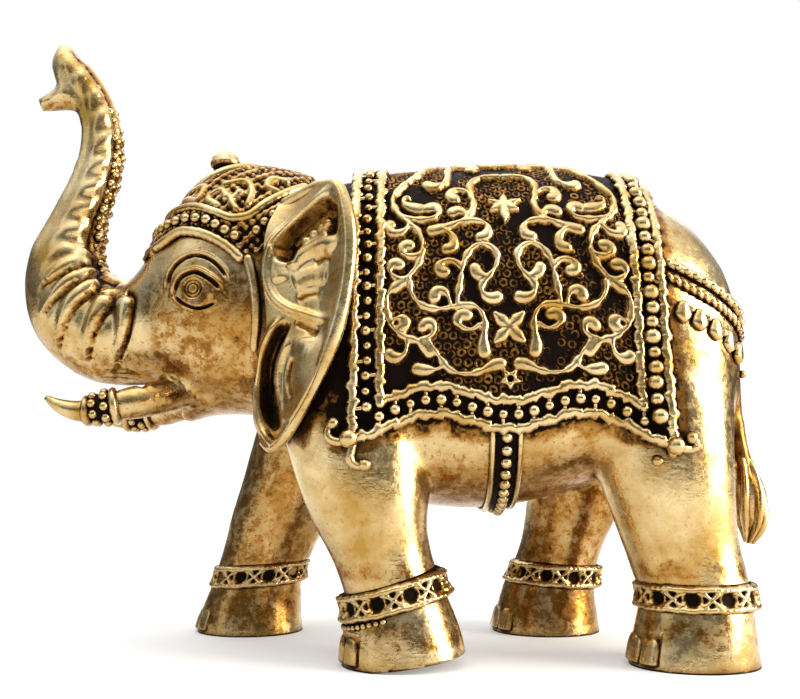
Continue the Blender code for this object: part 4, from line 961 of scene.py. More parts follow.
def connectors(feet, beads, out):
    """Short necks that tie beads to a rail: from each foot to its bead's middle."""
    surfaces = []
    for foot, bead, lift in zip(feet, beads, out):
        path = foot + (bead - foot) * np.linspace(0.0, 1.0, 5)[:, None]
        up = np.broadcast_to(lift, path.shape)
        surfaces.append(tube(path, up, 0.62, 0.7, 8, blunt=False, patina=0.05))
    return surfaces


def hem_ropes(side):
    """Two rails and a row of beads along one hem, with necks that tie the beads to the rails."""
    surfaces = []
    for offset in (0.0, BORDER_WIDTH):
        inset = ROPE_INSET + offset
        x = np.linspace(CLOTH_FRONT + inset, CLOTH_REAR - inset, RAIL_POINTS["hem"])
        wave = 0.14 * np.sin(x * 1.6) + 0.08 * np.sin(x * 3.7 + offset)
        path, out = over_body(x, hem(x) - inset + wave, side, CLOTH_THICKNESS - 0.1)
        surfaces.append(tube(path, out, rail(x), RAIL_HEIGHT, patina=0.0))
    count = int((CLOTH_REAR - CLOTH_FRONT - 2 * BORDER_WIDTH) / BEAD_PITCH) + 1
    x = CLOTH_MIDDLE + (np.arange(count) - (count - 1) / 2) * BEAD_PITCH
    uneven = 1 + 0.1 * np.sin(np.arange(count) * 2.1)
    places, out = over_body(x, hem(x) - ROPE_INSET - BORDER_WIDTH / 2, side, 0.75)
    surfaces.append(balls(places, out, BEAD_DIAMETER * uneven))
    for start, offset in ((0, 0.0), (1, BORDER_WIDTH)):
        step = slice(start, None, 2)
        feet, _ = over_body(x[step], hem(x[step]) - ROPE_INSET - offset, side, 1.0)
        surfaces += connectors(feet, places[step] + out[step] * 0.3, out[step])
    return surfaces


def crupper_drop(x, height, side):
    """One drop below the crupper: a pear-shaped boss that hangs from a small bead."""
    along = float(torso.length_at(x, height))
    line = walk(x, along - 0.9, 90, ((3.2, 0),))
    path, out = over_body(line[:, 0], line[:, 1], side, 0.1)
    width = np.interp(np.linspace(0, 1, len(line)), (0, 0.3, 0.65, 1), (1.2, 2.0, 2.8, 1.4))
    place, way = over_body(np.array([x + 1.25]), np.array([along - 0.7]), side, 0.1)
    return [tube(path, out, width, 1.5, 14, patina=0.05), balls(place, way, 1.15, 0.1)]


def make_cloth_beads():
    """The rows of beads and ropes along all four edges of the cloth."""
    return join(cross_ropes() + hem_ropes(-1) + hem_ropes(1))


def curl(line, side, width, lift, bulb):
    """A tapering round bar over the body, through x and length, that ends in a ball."""
    share = np.linspace(0.0, 1.0, len(line))
    path, out = over_body(line[:, 0], line[:, 1], side, lift)
    size = width * (0.75 + 0.4 * np.sin(math.pi * share))
    return [tube(path, out, size, size, patina=0.0), balls(path[-1:], out[-1:], bulb, 0.05)]


def make_trim():
    """Corner curls, the girth under the belly and the crupper round the rump."""
    surfaces = []
    for side in (-1, 1):
        for stroke in CORNERS:
            surfaces += curl(walk(*stroke), side, 1.1, 0.8, 1.7)
        for x in (CLOTH_FRONT + 0.3, CLOTH_REAR - 0.3):
            place, out = over_body(np.array([x]), np.array([CORNER_BALL_AT]), side, 0.9)
            surfaces.append(balls(place, out, 2.6, 0.05))
        for number, line in enumerate(CRUPPER):
            x, height = resample_flat(line, 0.2).T
            path, out = over_body(x, torso.length_at(x, height), side, 0.2)
            surfaces.append(tube(path, out, 1.5, 1.25, 12, twist=(2.4, 2, 0.35) if number else None))
            if number == 0:
                surfaces.append(balls(path[3::7] - (0, 0, 0.1), out[3::7], 1.35, 0.2))
        for x, height in CRUPPER_DROPS:
            surfaces += crupper_drop(x, height, side)
    finish = float(torso.length_at(GIRTH_MIDDLE, torso.section(GIRTH_MIDDLE)[0, 1] + 0.01))
    start = float(hem(GIRTH_MIDDLE)) - 0.6
    run = np.linspace(start, 2 * finish - start, GIRTH_POINTS)
    side = np.where(run > finish, 1, -1)
    folded = np.minimum(run, 2 * finish - run)
    for edge in (-1, 1):
        x = np.full(GIRTH_POINTS, GIRTH_MIDDLE + edge * GIRTH_WIDTH / 2)
        path, out = torso.place(x, folded, side, 0.3)
        surfaces.append(tube(path, out, 0.8, 1.0, patina=0.05))
    path, out = torso.place(np.full(GIRTH_POINTS, GIRTH_MIDDLE), folded, side, 0.1)
    surfaces.append(tube(path, out, GIRTH_WIDTH, 0.6, 12, blunt=False, patina=1.0))
    beads = np.arange(start + 1.2, finish - 1.0, 1.75)
    for side in (-1, 1):
        path, out = torso.place(np.full(len(beads), GIRTH_MIDDLE), beads, side, 0.5)
        surfaces.append(balls(path, out, 1.6, 0.1))
    return join(surfaces)


# The animal's skin: lofted forms fused into one, then cut with its folds and lines.


@functools.lru_cache(maxsize=1)
def fused_skin():
    """Points and quads of the body's forms, joined by a voxel remesh and smoothed."""
    forms = [torso.rings(1.0, 72), head.rings(0.8, 64)]
    forms += [limb_rings(leg_rows(leg, side), 48, 40) for leg, side, *_ in LEGS]
    forms += [limb_rings(stations, 60, 36) for stations in (TRUNK, LOWER_FINGER, JAW, TAIL)]
    tusks = [limb_rings(sided(TUSK, side), TUSK_SECTIONS, 28) for side in (-1, 1)]
    forms += [tusk[:TUSK_ROOT + TUSK_OVERLAP] for tusk in tusks]
    points, quads, triangles, _ = join([closed_rings(rings) for rings in forms])
    mesh = bpy.data.meshes.new("forms")
    mesh.from_pydata((points * MM).tolist(), [], quads.tolist() + triangles.tolist())
    skin = add_object("forms", mesh)
    face_outwards(mesh)
    fuse = skin.modifiers.new("fuse", "REMESH")
    fuse.mode = "VOXEL"
    fuse.voxel_size = SKIN_VOXEL * MM
    soften = skin.modifiers.new("soften", "SMOOTH")
    soften.factor = 0.5
    soften.iterations = SKIN_SMOOTHING
    graph = bpy.context.evaluated_depsgraph_get()
    fused = bpy.data.meshes.new_from_object(skin.evaluated_get(graph))
    points = read(fused.vertices, "co", 3).astype(float) / MM
    quads = read(fused.loops, "vertex_index", 1, np.int32).reshape(-1, 4)
    bpy.data.objects.remove(skin)
    bpy.data.meshes.remove(mesh)
    bpy.data.meshes.remove(fused)
    return points, quads


@functools.lru_cache(maxsize=2)
def bulge(side):
    """How far the fused skin stands out beyond the torso's form, over x and length from the spine."""
    points, _ = fused_skin()
    x, y, z = points.T
    low = torso.section(x)[:, 1]
    flank = points[(y * side > 5) & (z > low + 1.5) & (x > torso.x[0] + 1) & (x < torso.x[-1] - 1)]
    along = torso.length_at(flank[:, 0], flank[:, 2])
    excess = side * flank[:, 1] - np.abs(torso.skin(flank[:, 0], along, side)[:, 1])
    table = np.zeros((len(torso.columns), len(torso.lengths)))
    column = ((flank[:, 0] - torso.x[0]) / torso.pitch).round().astype(int)
    row = (along / torso.STEP).round().astype(int)
    for i in range(-2, 3):
        for j in range(-2, 3):
            cells = (column + i).clip(0, len(table) - 1), (row + j).clip(0, table.shape[1] - 1)
            np.maximum.at(table, cells, excess)
    for _ in range(12):
        table[1:-1] = (table[:-2] + table[1:-1] + table[2:]) / 3
        table[:, 1:-1] = (table[:, :-2] + table[:, 1:-1] + table[:, 2:]) / 3
    return table


def over_body(x, along, side=1, lift=0.0):
    """Places lifted off the fused skin at x and a length from the spine, and the way out of it."""
    x, along, side = np.broadcast_arrays(np.asarray(x, float), np.asarray(along, float), side)
    seen = np.where(along < 0, -side, side)
    left, right = (torso.look_up(bulge(sign), x, np.abs(along), 0.0) for sign in (-1, 1))
    places, out = torso.place(x, along, side, lift)
    places[..., 1] += seen * np.where(seen < 0, left, right)
    return places, out


def cut_below(work, place, normal, chosen):
    """The chosen faces cut away below a plane, and the cut closed."""
    faces = [face for face in work.faces if chosen(face.calc_center_median() / MM)]
    verts = {vert for face in faces for vert in face.verts}
    edges = {edge for face in faces for edge in face.edges}
    bmesh.ops.bisect_plane(work, geom=[*verts, *edges, *faces], plane_co=np.array(place) * MM,
                           plane_no=normal, clear_outer=True, dist=1e-6)
    bmesh.ops.holes_fill(work, edges=[edge for edge in work.edges if edge.is_boundary], sides=0)


def refine(work, box):
    """One more cut of every face on both sides of the head that lies in the box of x and height."""
    (x0, x1), (z0, z1) = box
    edges = set()
    for face in work.faces:
        x, y, z = face.calc_center_median() / MM
        if x0 < x < x1 and z0 < z < z1 and abs(y) > 2.0:
            edges |= set(face.edges)
    bmesh.ops.subdivide_edges(work, edges=list(edges), cuts=1, use_grid_fill=True)
    loose = {vert for edge in edges if edge.is_valid for vert in edge.verts}
    bmesh.ops.smooth_vert(work, verts=list(loose), factor=0.3,
                          use_axis_x=True, use_axis_y=True, use_axis_z=True)


def skin_lines(x, z, y):
    """Displacement and patina of the lines cut or raised on both cheeks, the trunk and the mouth."""
    points = np.stack((x, z), axis=-1)
    move = np.zeros(len(x))
    dark = np.zeros(len(x))

    def cut(line, width, depth, lip):
        """A groove of that width and depth, with a lip on the side that the lip's sign gives."""
        line = resample_flat(line, 0.3)
        near = in_reach(points, line, 2.4 * width)
        near = near[np.abs(y[near]) > 3.0]
        share, along, turned = line_field(points[near], line, width / 2)
        fade = ease(along, 0.0, 0.12) * ease(1 - along, 0.0, 0.12) + 0.15
        groove = arch(share)
        raised = arch((share - 1.9) / 1.1) * (turned * np.sign(lip) > 0)
        move[near] += fade * (abs(lip) * raised - depth * groove)
        dark[near] = np.maximum(dark[near], groove**0.5 * np.minimum(fade, 1.0))

    cut(UPPER_LID, 0.62, 0.5, 0.32)
    cut(LOWER_LID, 0.5, 0.42, -0.25)
    cut(BROW, 0.5, 0.4, 0.3)
    cut(MOUTH, 0.9, 0.8, 0.35)
    for line in TRUNK_FOLDS:
        line = resample_flat(line, 0.3)
        near = in_reach(points, line, 3.0)
        near = near[np.abs(y[near]) > 1.0]
        half = np.linspace(1.35, 0.35, len(line))
        share, along, turned = line_field(points[near], line, half)
        fold = dome(share) * (1 - 0.5 * along)
        under = arch((share - 1.25) / 0.5) * (turned > 0)
        move[near] += 0.85 * fold - 0.35 * under
        dark[near] = np.maximum(dark[near], under)
    from_iris = np.hypot(x - IRIS[0], z - IRIS[1])
    on_side = np.abs(y) > 6.0
    inside_lids = ease(from_iris, 3.4, 2.4) * on_side
    for radius, width in ((1.2, 0.2), (0.72, 0.16)):
        ring = arch((from_iris - radius) / width) * on_side
        move -= 0.3 * ring
        dark = np.maximum(dark, 0.9 * ring)
    move += 0.25 * inside_lids
    return move, dark


def trunk_places(points):
    """For points near the trunk: share of its length, angle about it, and whether they belong to it."""
    rows = resample(TRUNK, count=240)
    path = rows[:, :3]
    lateral, outward = limb_frame(path)
    share = np.zeros(len(points))
    angle = np.zeros(len(points))
    near = np.nonzero((points[:, 0] < -38.0) & (points[:, 2] > 36.0))[0]
    gap = np.linalg.norm(points[near, None] - path[None, ::2], axis=-1)
    index = gap.argmin(axis=1) * 2
    offset = points[near] - path[index]
    share[near] = index / (len(rows) - 1)
    rise = (offset * outward[index]).sum(axis=1)
    across = (offset * lateral[index]).sum(axis=1)
    angle[near] = np.arctan2(rise, np.abs(across))
    belongs = np.zeros(len(points), bool)
    belongs[near] = gap.min(axis=1) < 1.5 * rows[index, 4] + 0.4
    return share, angle, belongs


def trunk_relief(points):
    """Scallops up the trunk's sides, the hollow in front of them and the dark groove behind them."""
    share, angle, belongs = trunk_places(points)
    angle = np.degrees(angle)
    upper = ease(share, 0.36, 0.42) * ease(1 - share, 0.04, 0.1) * belongs
    wave = 0.5 + 0.5 * np.cos(2 * math.pi * ((share - 0.40) / 0.058 - angle / 110))
    scallop = wave * np.exp(-((angle - 22) / 26) ** 2)
    edge = np.exp(-((angle + 52) / 10) ** 2)
    hollow = np.exp(-((angle + 26) / 16) ** 2)
    lower = ease(share, 0.14, 0.2) * ease(1 - share, 0.0, 0.05) * belongs
    groove = np.exp(-((angle - 60) / 8) ** 2) * lower
    move = upper * (0.55 * scallop + 0.3 * edge - 0.25 * hollow) - 0.45 * groove
    dark = np.maximum(groove, 0.35 * upper * (1 - wave) * np.exp(-((angle - 30) / 20) ** 2))
    return move, dark


def waver(points, length, seed):
    """A soft, uneven swell over the metal: sines in eight directions, from -1 to 1."""
    random = np.random.default_rng(seed)
    ways = unit(random.normal(size=(8, 3)))
    phase = random.uniform(0.0, 2 * math.pi, 8)
    return np.sin(points @ ways.T * 2 * math.pi / length + phase).mean(axis=1) * 1.6


def painted_skin_shade(points):
    """Painted shade on the broad skin: how much darker each place is drawn.

    It lies below the cloth's hem, under the belly, behind the ears, at the neck, at the rear below
    the tail, on the cheeks, round the anklets and low down on the far side.
    """
    x, y, z = points.T
    side = np.abs(y)
    rough = 0.5 + 0.5 * waver(points, 3.4, 21)
    along = torso.length_at(np.clip(x, torso.x[0], torso.x[-1]), z)
    below_hem = along - hem(np.clip(x, CLOTH_FRONT, CLOTH_REAR))
    sides = window(x, CLOTH_FRONT - 1.0, CLOTH_REAR + 0.5, 2.5)
    shade = sides * (z > 14) * (1 - ease(below_hem + 1.6 * rough, 0.8, 4.4)) * 0.95
    belly = (1 - ease(z + 2.0 * rough, 23.0, 29.0)) * (1 - ease(side, 9.0, 14.0)) * ease(z, 22.0, 24.6)
    shade = np.maximum(shade, belly * 0.75)
    behind_ear = window(x + 2 * rough, -16.5, -4.5, 4.0) * window(z + 6 * rough, 37.0, 68.0, 5.0)
    shade = np.maximum(shade, behind_ear * ease(side, 8.0, 12.0) * 0.97)
    neck = window(x, -21.4, -18.6, 2.0) * window(z - rough, 34.6, 37.0, 2.4) * ease(side, 6.0, 9.0)
    shade = np.maximum(shade, neck * 0.85)
    shade = np.maximum(shade, 0.6 * ease(x, 46.0, 49.0) * window(z, 27.0, 45.0, 4.0))
    cheek = window(x, -33.0, -21.0, 5.0) * window(z, 37.0, 50.0, 6.0) * ease(side, 5.0, 9.0)
    shade = np.maximum(shade, cheek * (0.24 + 0.22 * rough))
    ankles = window(z + rough, 3.8, 6.6, 0.9) * 0.5 + window(z - rough, 11.2, 12.2, 1.2) * 0.5
    shade = np.maximum(shade, ankles * rough)
    return shade + 0.22 * rough * ease(20.0 - z, 0.0, 14.0) * ease(y, -2.0, 6.0)


def make_body(material):
    """The animal's skin with its folds, face lines and uneven, hand-finished surface."""
    fused, quads = fused_skin()
    mesh = bpy.data.meshes.new(NODE + "_skin")
    mesh.from_pydata((fused * MM).tolist(), [], quads.tolist())
    skin = add_object(NODE + "_skin", mesh)
    work = bmesh.new()
    work.from_mesh(mesh)
    cut_below(work, (0.0, 0.0, 0.0), (0.0, 0.0, -1.0), lambda place: place.z < 4)
    lean = math.radians(HEEL_TILT)
    cut_below(work, (HEEL_START, 0.0, 0.0), (math.sin(lean), 0.0, -math.cos(lean)),
              lambda place: place.z < 4 and HEEL_START - 1 < place.x < 14 and place.y < 0)
    refine(work, FACE_BOX)
    refine(work, EYE_BOX)
    bmesh.ops.triangulate(work, faces=[face for face in work.faces if len(face.verts) > 4])
    bmesh.ops.recalc_face_normals(work, faces=work.faces)
    work.to_mesh(mesh)
    work.free()
    points = read(mesh.vertices, "co", 3).astype(float) / MM
    normals = read(mesh.vertices, "normal", 3)
    lines, line_dark = skin_lines(points[:, 0], points[:, 2], points[:, 1])
    trunk, trunk_dark = trunk_relief(points)
    swell = 0.07 * waver(points, 9.0, 3) + 0.04 * waver(points, 4.0, 5)
    off_ground = ease(points[:, 2], 0.4, 2.0)
    move = (lines + trunk + swell) * off_ground
    # Painted shade: faces looking down, and low faces looking in towards the middle plane, drawn darker
    under = 0.42 * ease(-normals[:, 2], 0.15, 0.9) * off_ground
    inward = ease(-normals[:, 1] * np.sign(points[:, 1]), 0.0, 0.7) * ease(36.0 - points[:, 2], 0.0, 8.0)
    inner_side_shade = inward * off_ground * (0.36 + 0.1 * waver(points, 5.0, 11))
    points += normals * move[:, None]
    # Cut lines and the trunk keep their patina; the painted shade of the skin goes over it
    dark = np.maximum.reduce((line_dark, trunk_dark, painted_skin_shade(points), under, inner_side_shade))
    points[:, 0] += SHIFT
    mesh.vertices.foreach_set("co", (points * MM).astype(np.float32).ravel())
    mesh.update()
    set_patina_and_shade(mesh, dark)
    mesh.shade_smooth()
    finish_piece(skin, material)
    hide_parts(NODE)


# Ears, tusks, headdress, anklets, nails and tail


def make_ear(side):
    """One ear: a curved sheet with a rolled rim, ridges and dark hollows on its outer face.

    Each row runs from the attached edge to the free one, sinks by a sine between them, and is
    moved in or out by the ear's ridges and hollows, seen from the side.
    """
    down = np.linspace(0.0, 1.0, EAR_ROWS)
    edges = smooth_curve(np.linspace(0.0, 1.0, len(EAR)), np.array(EAR), down)
    edges[:, (1, 4)] *= side
    share = np.linspace(0.0, 1.0, EAR_COLUMNS)
    sheet = edges[:, None, :3] * (1 - share[:, None]) + edges[:, None, 3:] * share[:, None]
    hollow = np.sin(math.pi * share) * np.sin(math.pi * (0.1 + 0.8 * down))[:, None]
    sheet[..., 1] -= side * EAR_HOLLOW * hollow
    along = torso.length_at(sheet[..., 0], sheet[..., 2])
    skin = np.abs(over_body(sheet[..., 0], along, side)[0][..., 1])
    sheet[..., 1] += side * 0.5 * np.logaddexp(0.0, (skin + 1.0 - side * sheet[..., 1]) / 0.5)
    flat = sheet[..., (0, 2)].reshape(-1, 2)
    move, dark = 0.12 * waver(sheet.reshape(-1, 3), 6.0, 8), np.zeros(len(flat))
    for line, half, depth, shade in EAR_HOLLOWS:
        press(move, dark, flat, line, half, -depth, shade)
    for line, half, height in EAR_RIDGES:
        press(move, dark, flat, line, half, height, 0.0)
    for place in EAR_LOCKS:
        reach = np.hypot(*(flat - place).T) / EAR_LOCK_SIZE
        bump = dome(reach)
        move = np.maximum(move, np.where(bump > 0, 1.2 * bump - 0.9, -9.0))
        dark *= 1 - ease(bump, 0.1, 0.7)
    move = move.reshape(sheet.shape[:2])
    move = np.maximum(move, skin + 0.3 - EAR_THICKNESS / 2 - side * sheet[..., 1])
    dark = dark.reshape(sheet.shape[:2])
    out = unit(np.array((-0.28, side, 0.05)))
    front = sheet + out * (EAR_THICKNESS / 2 + move)[..., None]
    back = sheet - out * (EAR_THICKNESS / 2 + 0.12 * np.sin(11 * down)[:, None, None])
    rings = np.concatenate((front, back[:, ::-1]), axis=1)
    slab = closed_rings(rings, np.concatenate((dark, np.full(dark.shape, 0.45)), axis=1))
    edge = np.r_[sheet[:1, 0], sheet[2::6, -1], sheet[-1:, 0]]
    rim = resample(np.c_[edge, np.zeros(len(edge))], step=0.3)[:, :3]
    run = np.linspace(0.0, 1.0, len(rim))
    width = 1.45 + 0.75 * np.sin(math.pi * run) ** 2 + 0.16 * np.sin(run * 23.0)
    normal = np.broadcast_to(out, rim.shape)
    return join((slab, tube(rim, normal, width, width * 0.9, 18, patina=0.0)))


def make_tusk(side):
    """One tusk: a tapering horn with a collar of two rings and a band of lumps between them."""
    stations = sided(TUSK, side)
    surfaces = [closed_rings(limb_rings(stations, TUSK_SECTIONS, 28)[TUSK_ROOT:])]
    rows = resample(stations, count=90)
    lateral, outward = limb_frame(rows[:, :3])
    turn = turns(48)
    run = run_of(rows[:, :3])

    def ring(at, lift):
        """A ring of places round the tusk at a run along it, lifted off it."""
        tables = (rows, lateral, outward)
        row, across, up = (np.array([np.interp(at, run, column) for column in table.T]) for table in tables)
        wide = across * (row[3] + lift) * np.cos(turn)[:, None]
        return row[:3] + wide + up * (row[4] + lift) * np.sin(turn)[:, None]

    start = float(np.interp(-COLLAR_START, -rows[:, 0], run))
    profile = np.array([ring(start + at, lift) for at, lift, _ in COLLAR])
    surfaces.append(closed_rings(profile, np.array(COLLAR)[:, 2:]))
    for at, offset, size in ((1.35, 0, 1.35), (2.85, 3, 1.3)):
        loop = ring(start + at, 0.05)
        index = np.arange(8) * 6 + offset
        middle = loop.mean(axis=0)
        surfaces.append(balls(loop[index], unit(loop[index] - middle), size, 0.08))
    return join(surfaces)


def crown_line(line, crown, step, lift):
    """A line over the head from side to side, through places at x and height and over the top at crown."""
    points = np.array(line)
    along = head.length_at(points[:, 0], points[:, 1])
    near, near_out = head.place(points[:, 0], along, -1, lift)
    far, far_out = head.place(points[:, 0], along, 1, lift)
    top, top_out = head.place(np.array([crown]), np.array([0.0]), 1, lift)
    rows = np.r_[np.c_[near, near_out], np.c_[top, top_out], np.c_[far, far_out][::-1]]
    rows = resample(rows, step=step)
    return rows[:, :3], unit(rows[:, 3:])


def cap_relief(x, along):
    """Height and patina of the cap: scrolls with round tops over a dark ground pierced with pits."""
    points = np.stack((x.ravel(), np.abs(along).ravel()), axis=-1)
    scroll = np.zeros(len(points))
    for line in CAP_SCROLLS:
        line = np.array(line)
        flat = resample_flat(np.c_[line[:, 0], head.length_at(line[:, 0], line[:, 1])], 0.25)
        half = np.full(len(flat), CAP_SCROLL_WIDTH / 2)
        raise_line(scroll, points, flat, half, CAP_SCROLL_HEIGHT)
        raise_line(scroll, points, np.stack((flat[-1], flat[-1] + 0.01)), np.full(2, 0.8), 0.85)
    a, b = points.T
    mesh = np.cos(a * 3.6) * np.cos(b * 3.6) + 0.5 * np.cos(a * 1.7 + b * 2.3)
    lace = ease(mesh, -0.15, 0.35) * 0.42
    height = np.maximum(scroll, lace)
    return (height - 0.25).reshape(x.shape), (1 - ease(height, 0.2, 0.55)).reshape(x.shape) * 0.95


def make_headdress():
    """The cap with its lace and scrolls, two bands with beads between them, and the finial on top."""
    x = np.linspace(CAP_FRONT, CAP_REAR, CAP_ROWS)[:, None]
    edge = np.array(CAP_EDGE)
    low = np.interp(-x, -edge[:, 0], edge[:, 1])
    low = np.minimum(low, head.section(x.ravel())[:, :1] - 0.3)
    reach = head.length_at(x, low)
    along = np.linspace(-1.0, 1.0, CAP_COLUMNS)[None] * reach
    x = np.broadcast_to(x, along.shape)
    height, dark = cap_relief(x, along)
    rim = np.minimum(reach - np.abs(along), np.minimum(x - CAP_FRONT, CAP_REAR - x))
    height = height - 1.2 * (1 - ease(rim, 0.0, 0.8))
    front, _ = head.place(x, along, 1, CAP_LIFT + height)
    back, _ = head.place(x[:, ::24], along[:, ::-24], 1, -0.8)
    patina = np.concatenate((dark, np.ones(back.shape[:2])), axis=1)
    surfaces = [closed_rings(np.concatenate((front, back), axis=1), patina)]
    for line, crown in ((LOWER_BAND, LOWER_CROWN), (UPPER_BAND, UPPER_CROWN)):
        path, out = crown_line(line, crown, 0.2, 0.35)
        width = BAND_WIDTH * (1 + 0.05 * np.sin(np.arange(len(path)) * 1.1))
        surfaces.append(tube(path, out, width, BAND_WIDTH, 14))
    path, out = crown_line(BEAD_LINE, BEAD_CROWN, 1.75, 0.5)
    surfaces.append(balls(path[:-1], out[:-1], 1.55, 0.15))
    for side in (-1, 1):
        x, height = resample_flat(REAR_BEAD_LINE, 1.6).T
        path, out = head.place(x, head.length_at(x, height), side, 0.6)
        surfaces.append(balls(path, out, 1.5, 0.15))
        x, height = resample_flat(EAR_STRAP, 0.25).T
        path, out = head.place(x, head.length_at(x, height), side, 0.15)
        surfaces.append(tube(path, out, 1.5, 1.2, 12, patina=0.1))
    surfaces += finial()
    return join(surfaces)


def finial():
    """The turned knob on top of the head, over a ring of petals and a round moulding."""
    top = head.place(np.array([FINIAL_AT]), np.array([0.0]), 1)[0][0]
    profile = np.array(FINIAL_PROFILE)
    knots = run_of(profile)
    at = np.linspace(0.0, knots[-1], 70)
    radius, high, dark = (np.interp(at, knots, v) for v in (*profile.T, FINIAL_DARK))
    turn = turns(FINIAL_SIDES)
    circle = np.stack((np.cos(turn), np.sin(turn), np.zeros(FINIAL_SIDES)), axis=-1)
    rings = top + circle[None] * np.maximum(radius, 0.02)[:, None, None]
    rings = rings + high[:, None, None] * np.array((0, 0, 1.0))
    surfaces = [closed_rings(rings, dark[:, None])]
    for start in np.arange(FINIAL_PETALS) * 2 * math.pi / FINIAL_PETALS + 0.2:
        away = np.linspace(1.6, 4.4, 12)
        x = top[0] + away * math.cos(start)
        path, out = head.place(x, away * math.sin(start), 1, 1.2 - 0.28 * away)
        width = np.interp(np.linspace(0, 1, 12), (0, 0.65, 1), (1.0, 2.1, 1.5))
        surfaces.append(tube(path, out, width, 1.5, 12, patina=0.05))
    around = np.linspace(0.0, 2 * math.pi, 181)
    path, out = head.place(top[0] + FINIAL_RING * np.cos(around), FINIAL_RING * np.sin(around), 1, 0.35)
    surfaces.append(tube(path, out, 1.7, 1.5, 12, blunt=False))
    return surfaces


def ankle_rows(leg, side):
    """A leg's sections from the ground up, for reading by height."""
    rows = resample(leg_rows(leg, side), count=90)
    return rows[np.argsort(rows[:, 2])]


def ankle_place(rows, tilt, turn, level, lift):
    """Places round a leg on a tilted level, lifted off its skin, and the way out there."""
    x, y, across, deep = [np.interp(level, rows[:, 2], rows[:, i]) for i in (0, 1, 3, 4)]
    forward = deep * np.cos(turn)
    sideways = across * np.sin(turn)
    rise = level + forward * math.tan(math.radians(tilt))
    place = np.stack((x + forward, y + sideways, rise), axis=-1)
    out = unit(np.stack((forward / deep**2, sideways / across**2, np.zeros(forward.shape)), axis=-1))
    return place + out * np.asarray(lift)[..., None], out


def make_anklet(leg, side, tilt):
    """One anklet: a band round the leg between two rims, of crosses and dark round hollows.

    Its height over the leg is a function of the turn round it and of the rise up it.
    """
    rows = ankle_rows(leg, side)
    turn = turns(ANKLET_COLUMNS)[None]
    rise = np.linspace(-ANKLET_HALF, ANKLET_HALF, ANKLET_ROWS)[:, None]
    wave = 0.05 * np.sin(turn * 9) + 0.04 * np.sin(turn * 23 + 1)
    rim = dome((np.abs(rise + wave) - ANKLET_REACH) / 0.46)
    notch = 0.5 + 0.5 * np.cos(turn * 60)
    cell = ((turn * ANKLET_CELLS / (2 * math.pi)) % 1.0 - 0.5) * 2 * ANKLET_HALF  # in mm across a cell
    size = np.hypot(cell, rise)
    arm = np.minimum(np.abs(np.abs(cell) - np.abs(rise) * 1.05), 9.0)
    width = 0.36 + 0.22 * np.clip(size, 0.0, 1.3)
    cross = dome(arm / width) * ease(1.55 - size, 0.0, 0.3)
    pit = ease(np.hypot((np.abs(cell) - ANKLET_HALF) / 0.95, rise / 0.85), 0.85, 1.1)
    frame = 0.5 * pit * ease(np.abs(cell), 0.75, 1.0)
    carved = np.maximum(cross * 0.8, frame) * (np.abs(rise) < ANKLET_REACH)
    height = np.maximum(rim * (0.85 - 0.1 * notch), carved) + 0.12
    edge = ease(ANKLET_HALF - np.abs(rise), 0.0, 0.35)
    height = height * edge - 0.6 * (1 - edge)
    dark = 1 - ease(np.maximum(rim * 1.1, carved * 1.3), 0.15, 0.55)
    level = ANKLET_MIDDLE + rise
    front, _ = ankle_place(rows, tilt, *np.broadcast_arrays(turn, level), height)
    ends = ANKLET_MIDDLE + np.array((ANKLET_HALF, -ANKLET_HALF))[:, None]
    sunk = np.full((2, ANKLET_COLUMNS), -1.2)
    back, _ = ankle_place(rows, tilt, *np.broadcast_arrays(turn, ends), sunk)
    points = np.concatenate((front, back))
    patina = np.concatenate((np.broadcast_to(dark, front.shape[:2]), np.ones(back.shape[:2])))
    quads = grid_quads(len(points), ANKLET_COLUMNS, round_rows=True, round_columns=True)
    band = (points.reshape(-1, 3), quads, NONE, patina.ravel())
    if leg is not NEAR_FRONT_LEG:
        return band
    ring = np.radians(np.arange(150.0, 262.0, 7.5))
    level = np.full(len(ring), ANKLET_MIDDLE - 2.15)
    places, out = ankle_place(rows, tilt, ring, level, np.full(len(ring), 0.05))
    return join((band, balls(places, out, 0.8, 0.1)))


def make_toes(leg, side):
    """The toenails of one foot: low oblong shields round its front, dark lines between them."""
    rows = ankle_rows(leg, side)
    turn = np.radians(180 + np.linspace(TOES_FROM, TOES_TO, TOE_ROWS))[:, None]
    level = np.linspace(TOE_LOW, TOE_HIGH, TOE_COLUMNS)[None]
    angle = np.degrees(turn) - 180
    nail = np.zeros((TOE_ROWS, TOE_COLUMNS))
    for low, high in TOES:
        across = (angle - (low + high) / 2) / ((high - low) / 2)
        up = (level - 1.7) / 2.2
        shield = np.clip(1 - np.abs(across) ** 3 - np.abs(up) ** 4, 0.0, 1.0) ** 0.5
        nail = np.maximum(nail, shield)
    ends = np.minimum(ease(angle - TOES_FROM, 0, 6), ease(TOES_TO - angle, 0, 6))
    edge = np.minimum(ends, np.minimum(ease(level, TOE_LOW, 0.7), ease(TOE_HIGH - level, 0.0, 1.0)))
    height = edge * (0.08 + 0.36 * nail) - 0.5 * (1 - edge)
    dark = (1 - ease(nail, 0.05, 0.45)) * ease(4.9 - level, 0.0, 1.6) * edge * 0.95
    front, _ = ankle_place(rows, 0.0, *np.broadcast_arrays(turn, level), height)
    hidden = np.ones((TOE_ROWS, TOE_BACK_COLUMNS))
    back, _ = ankle_place(rows, 0.0, *np.broadcast_arrays(turn, level[:, ::-5]), -1.5 * hidden)
    rings = np.concatenate((front, back), axis=1)
    return closed_rings(rings, np.concatenate((dark, hidden), axis=1))


def make_nails():
    """The toenails of all four feet."""
    return join([make_toes(leg, side) for leg, side, *_ in LEGS])


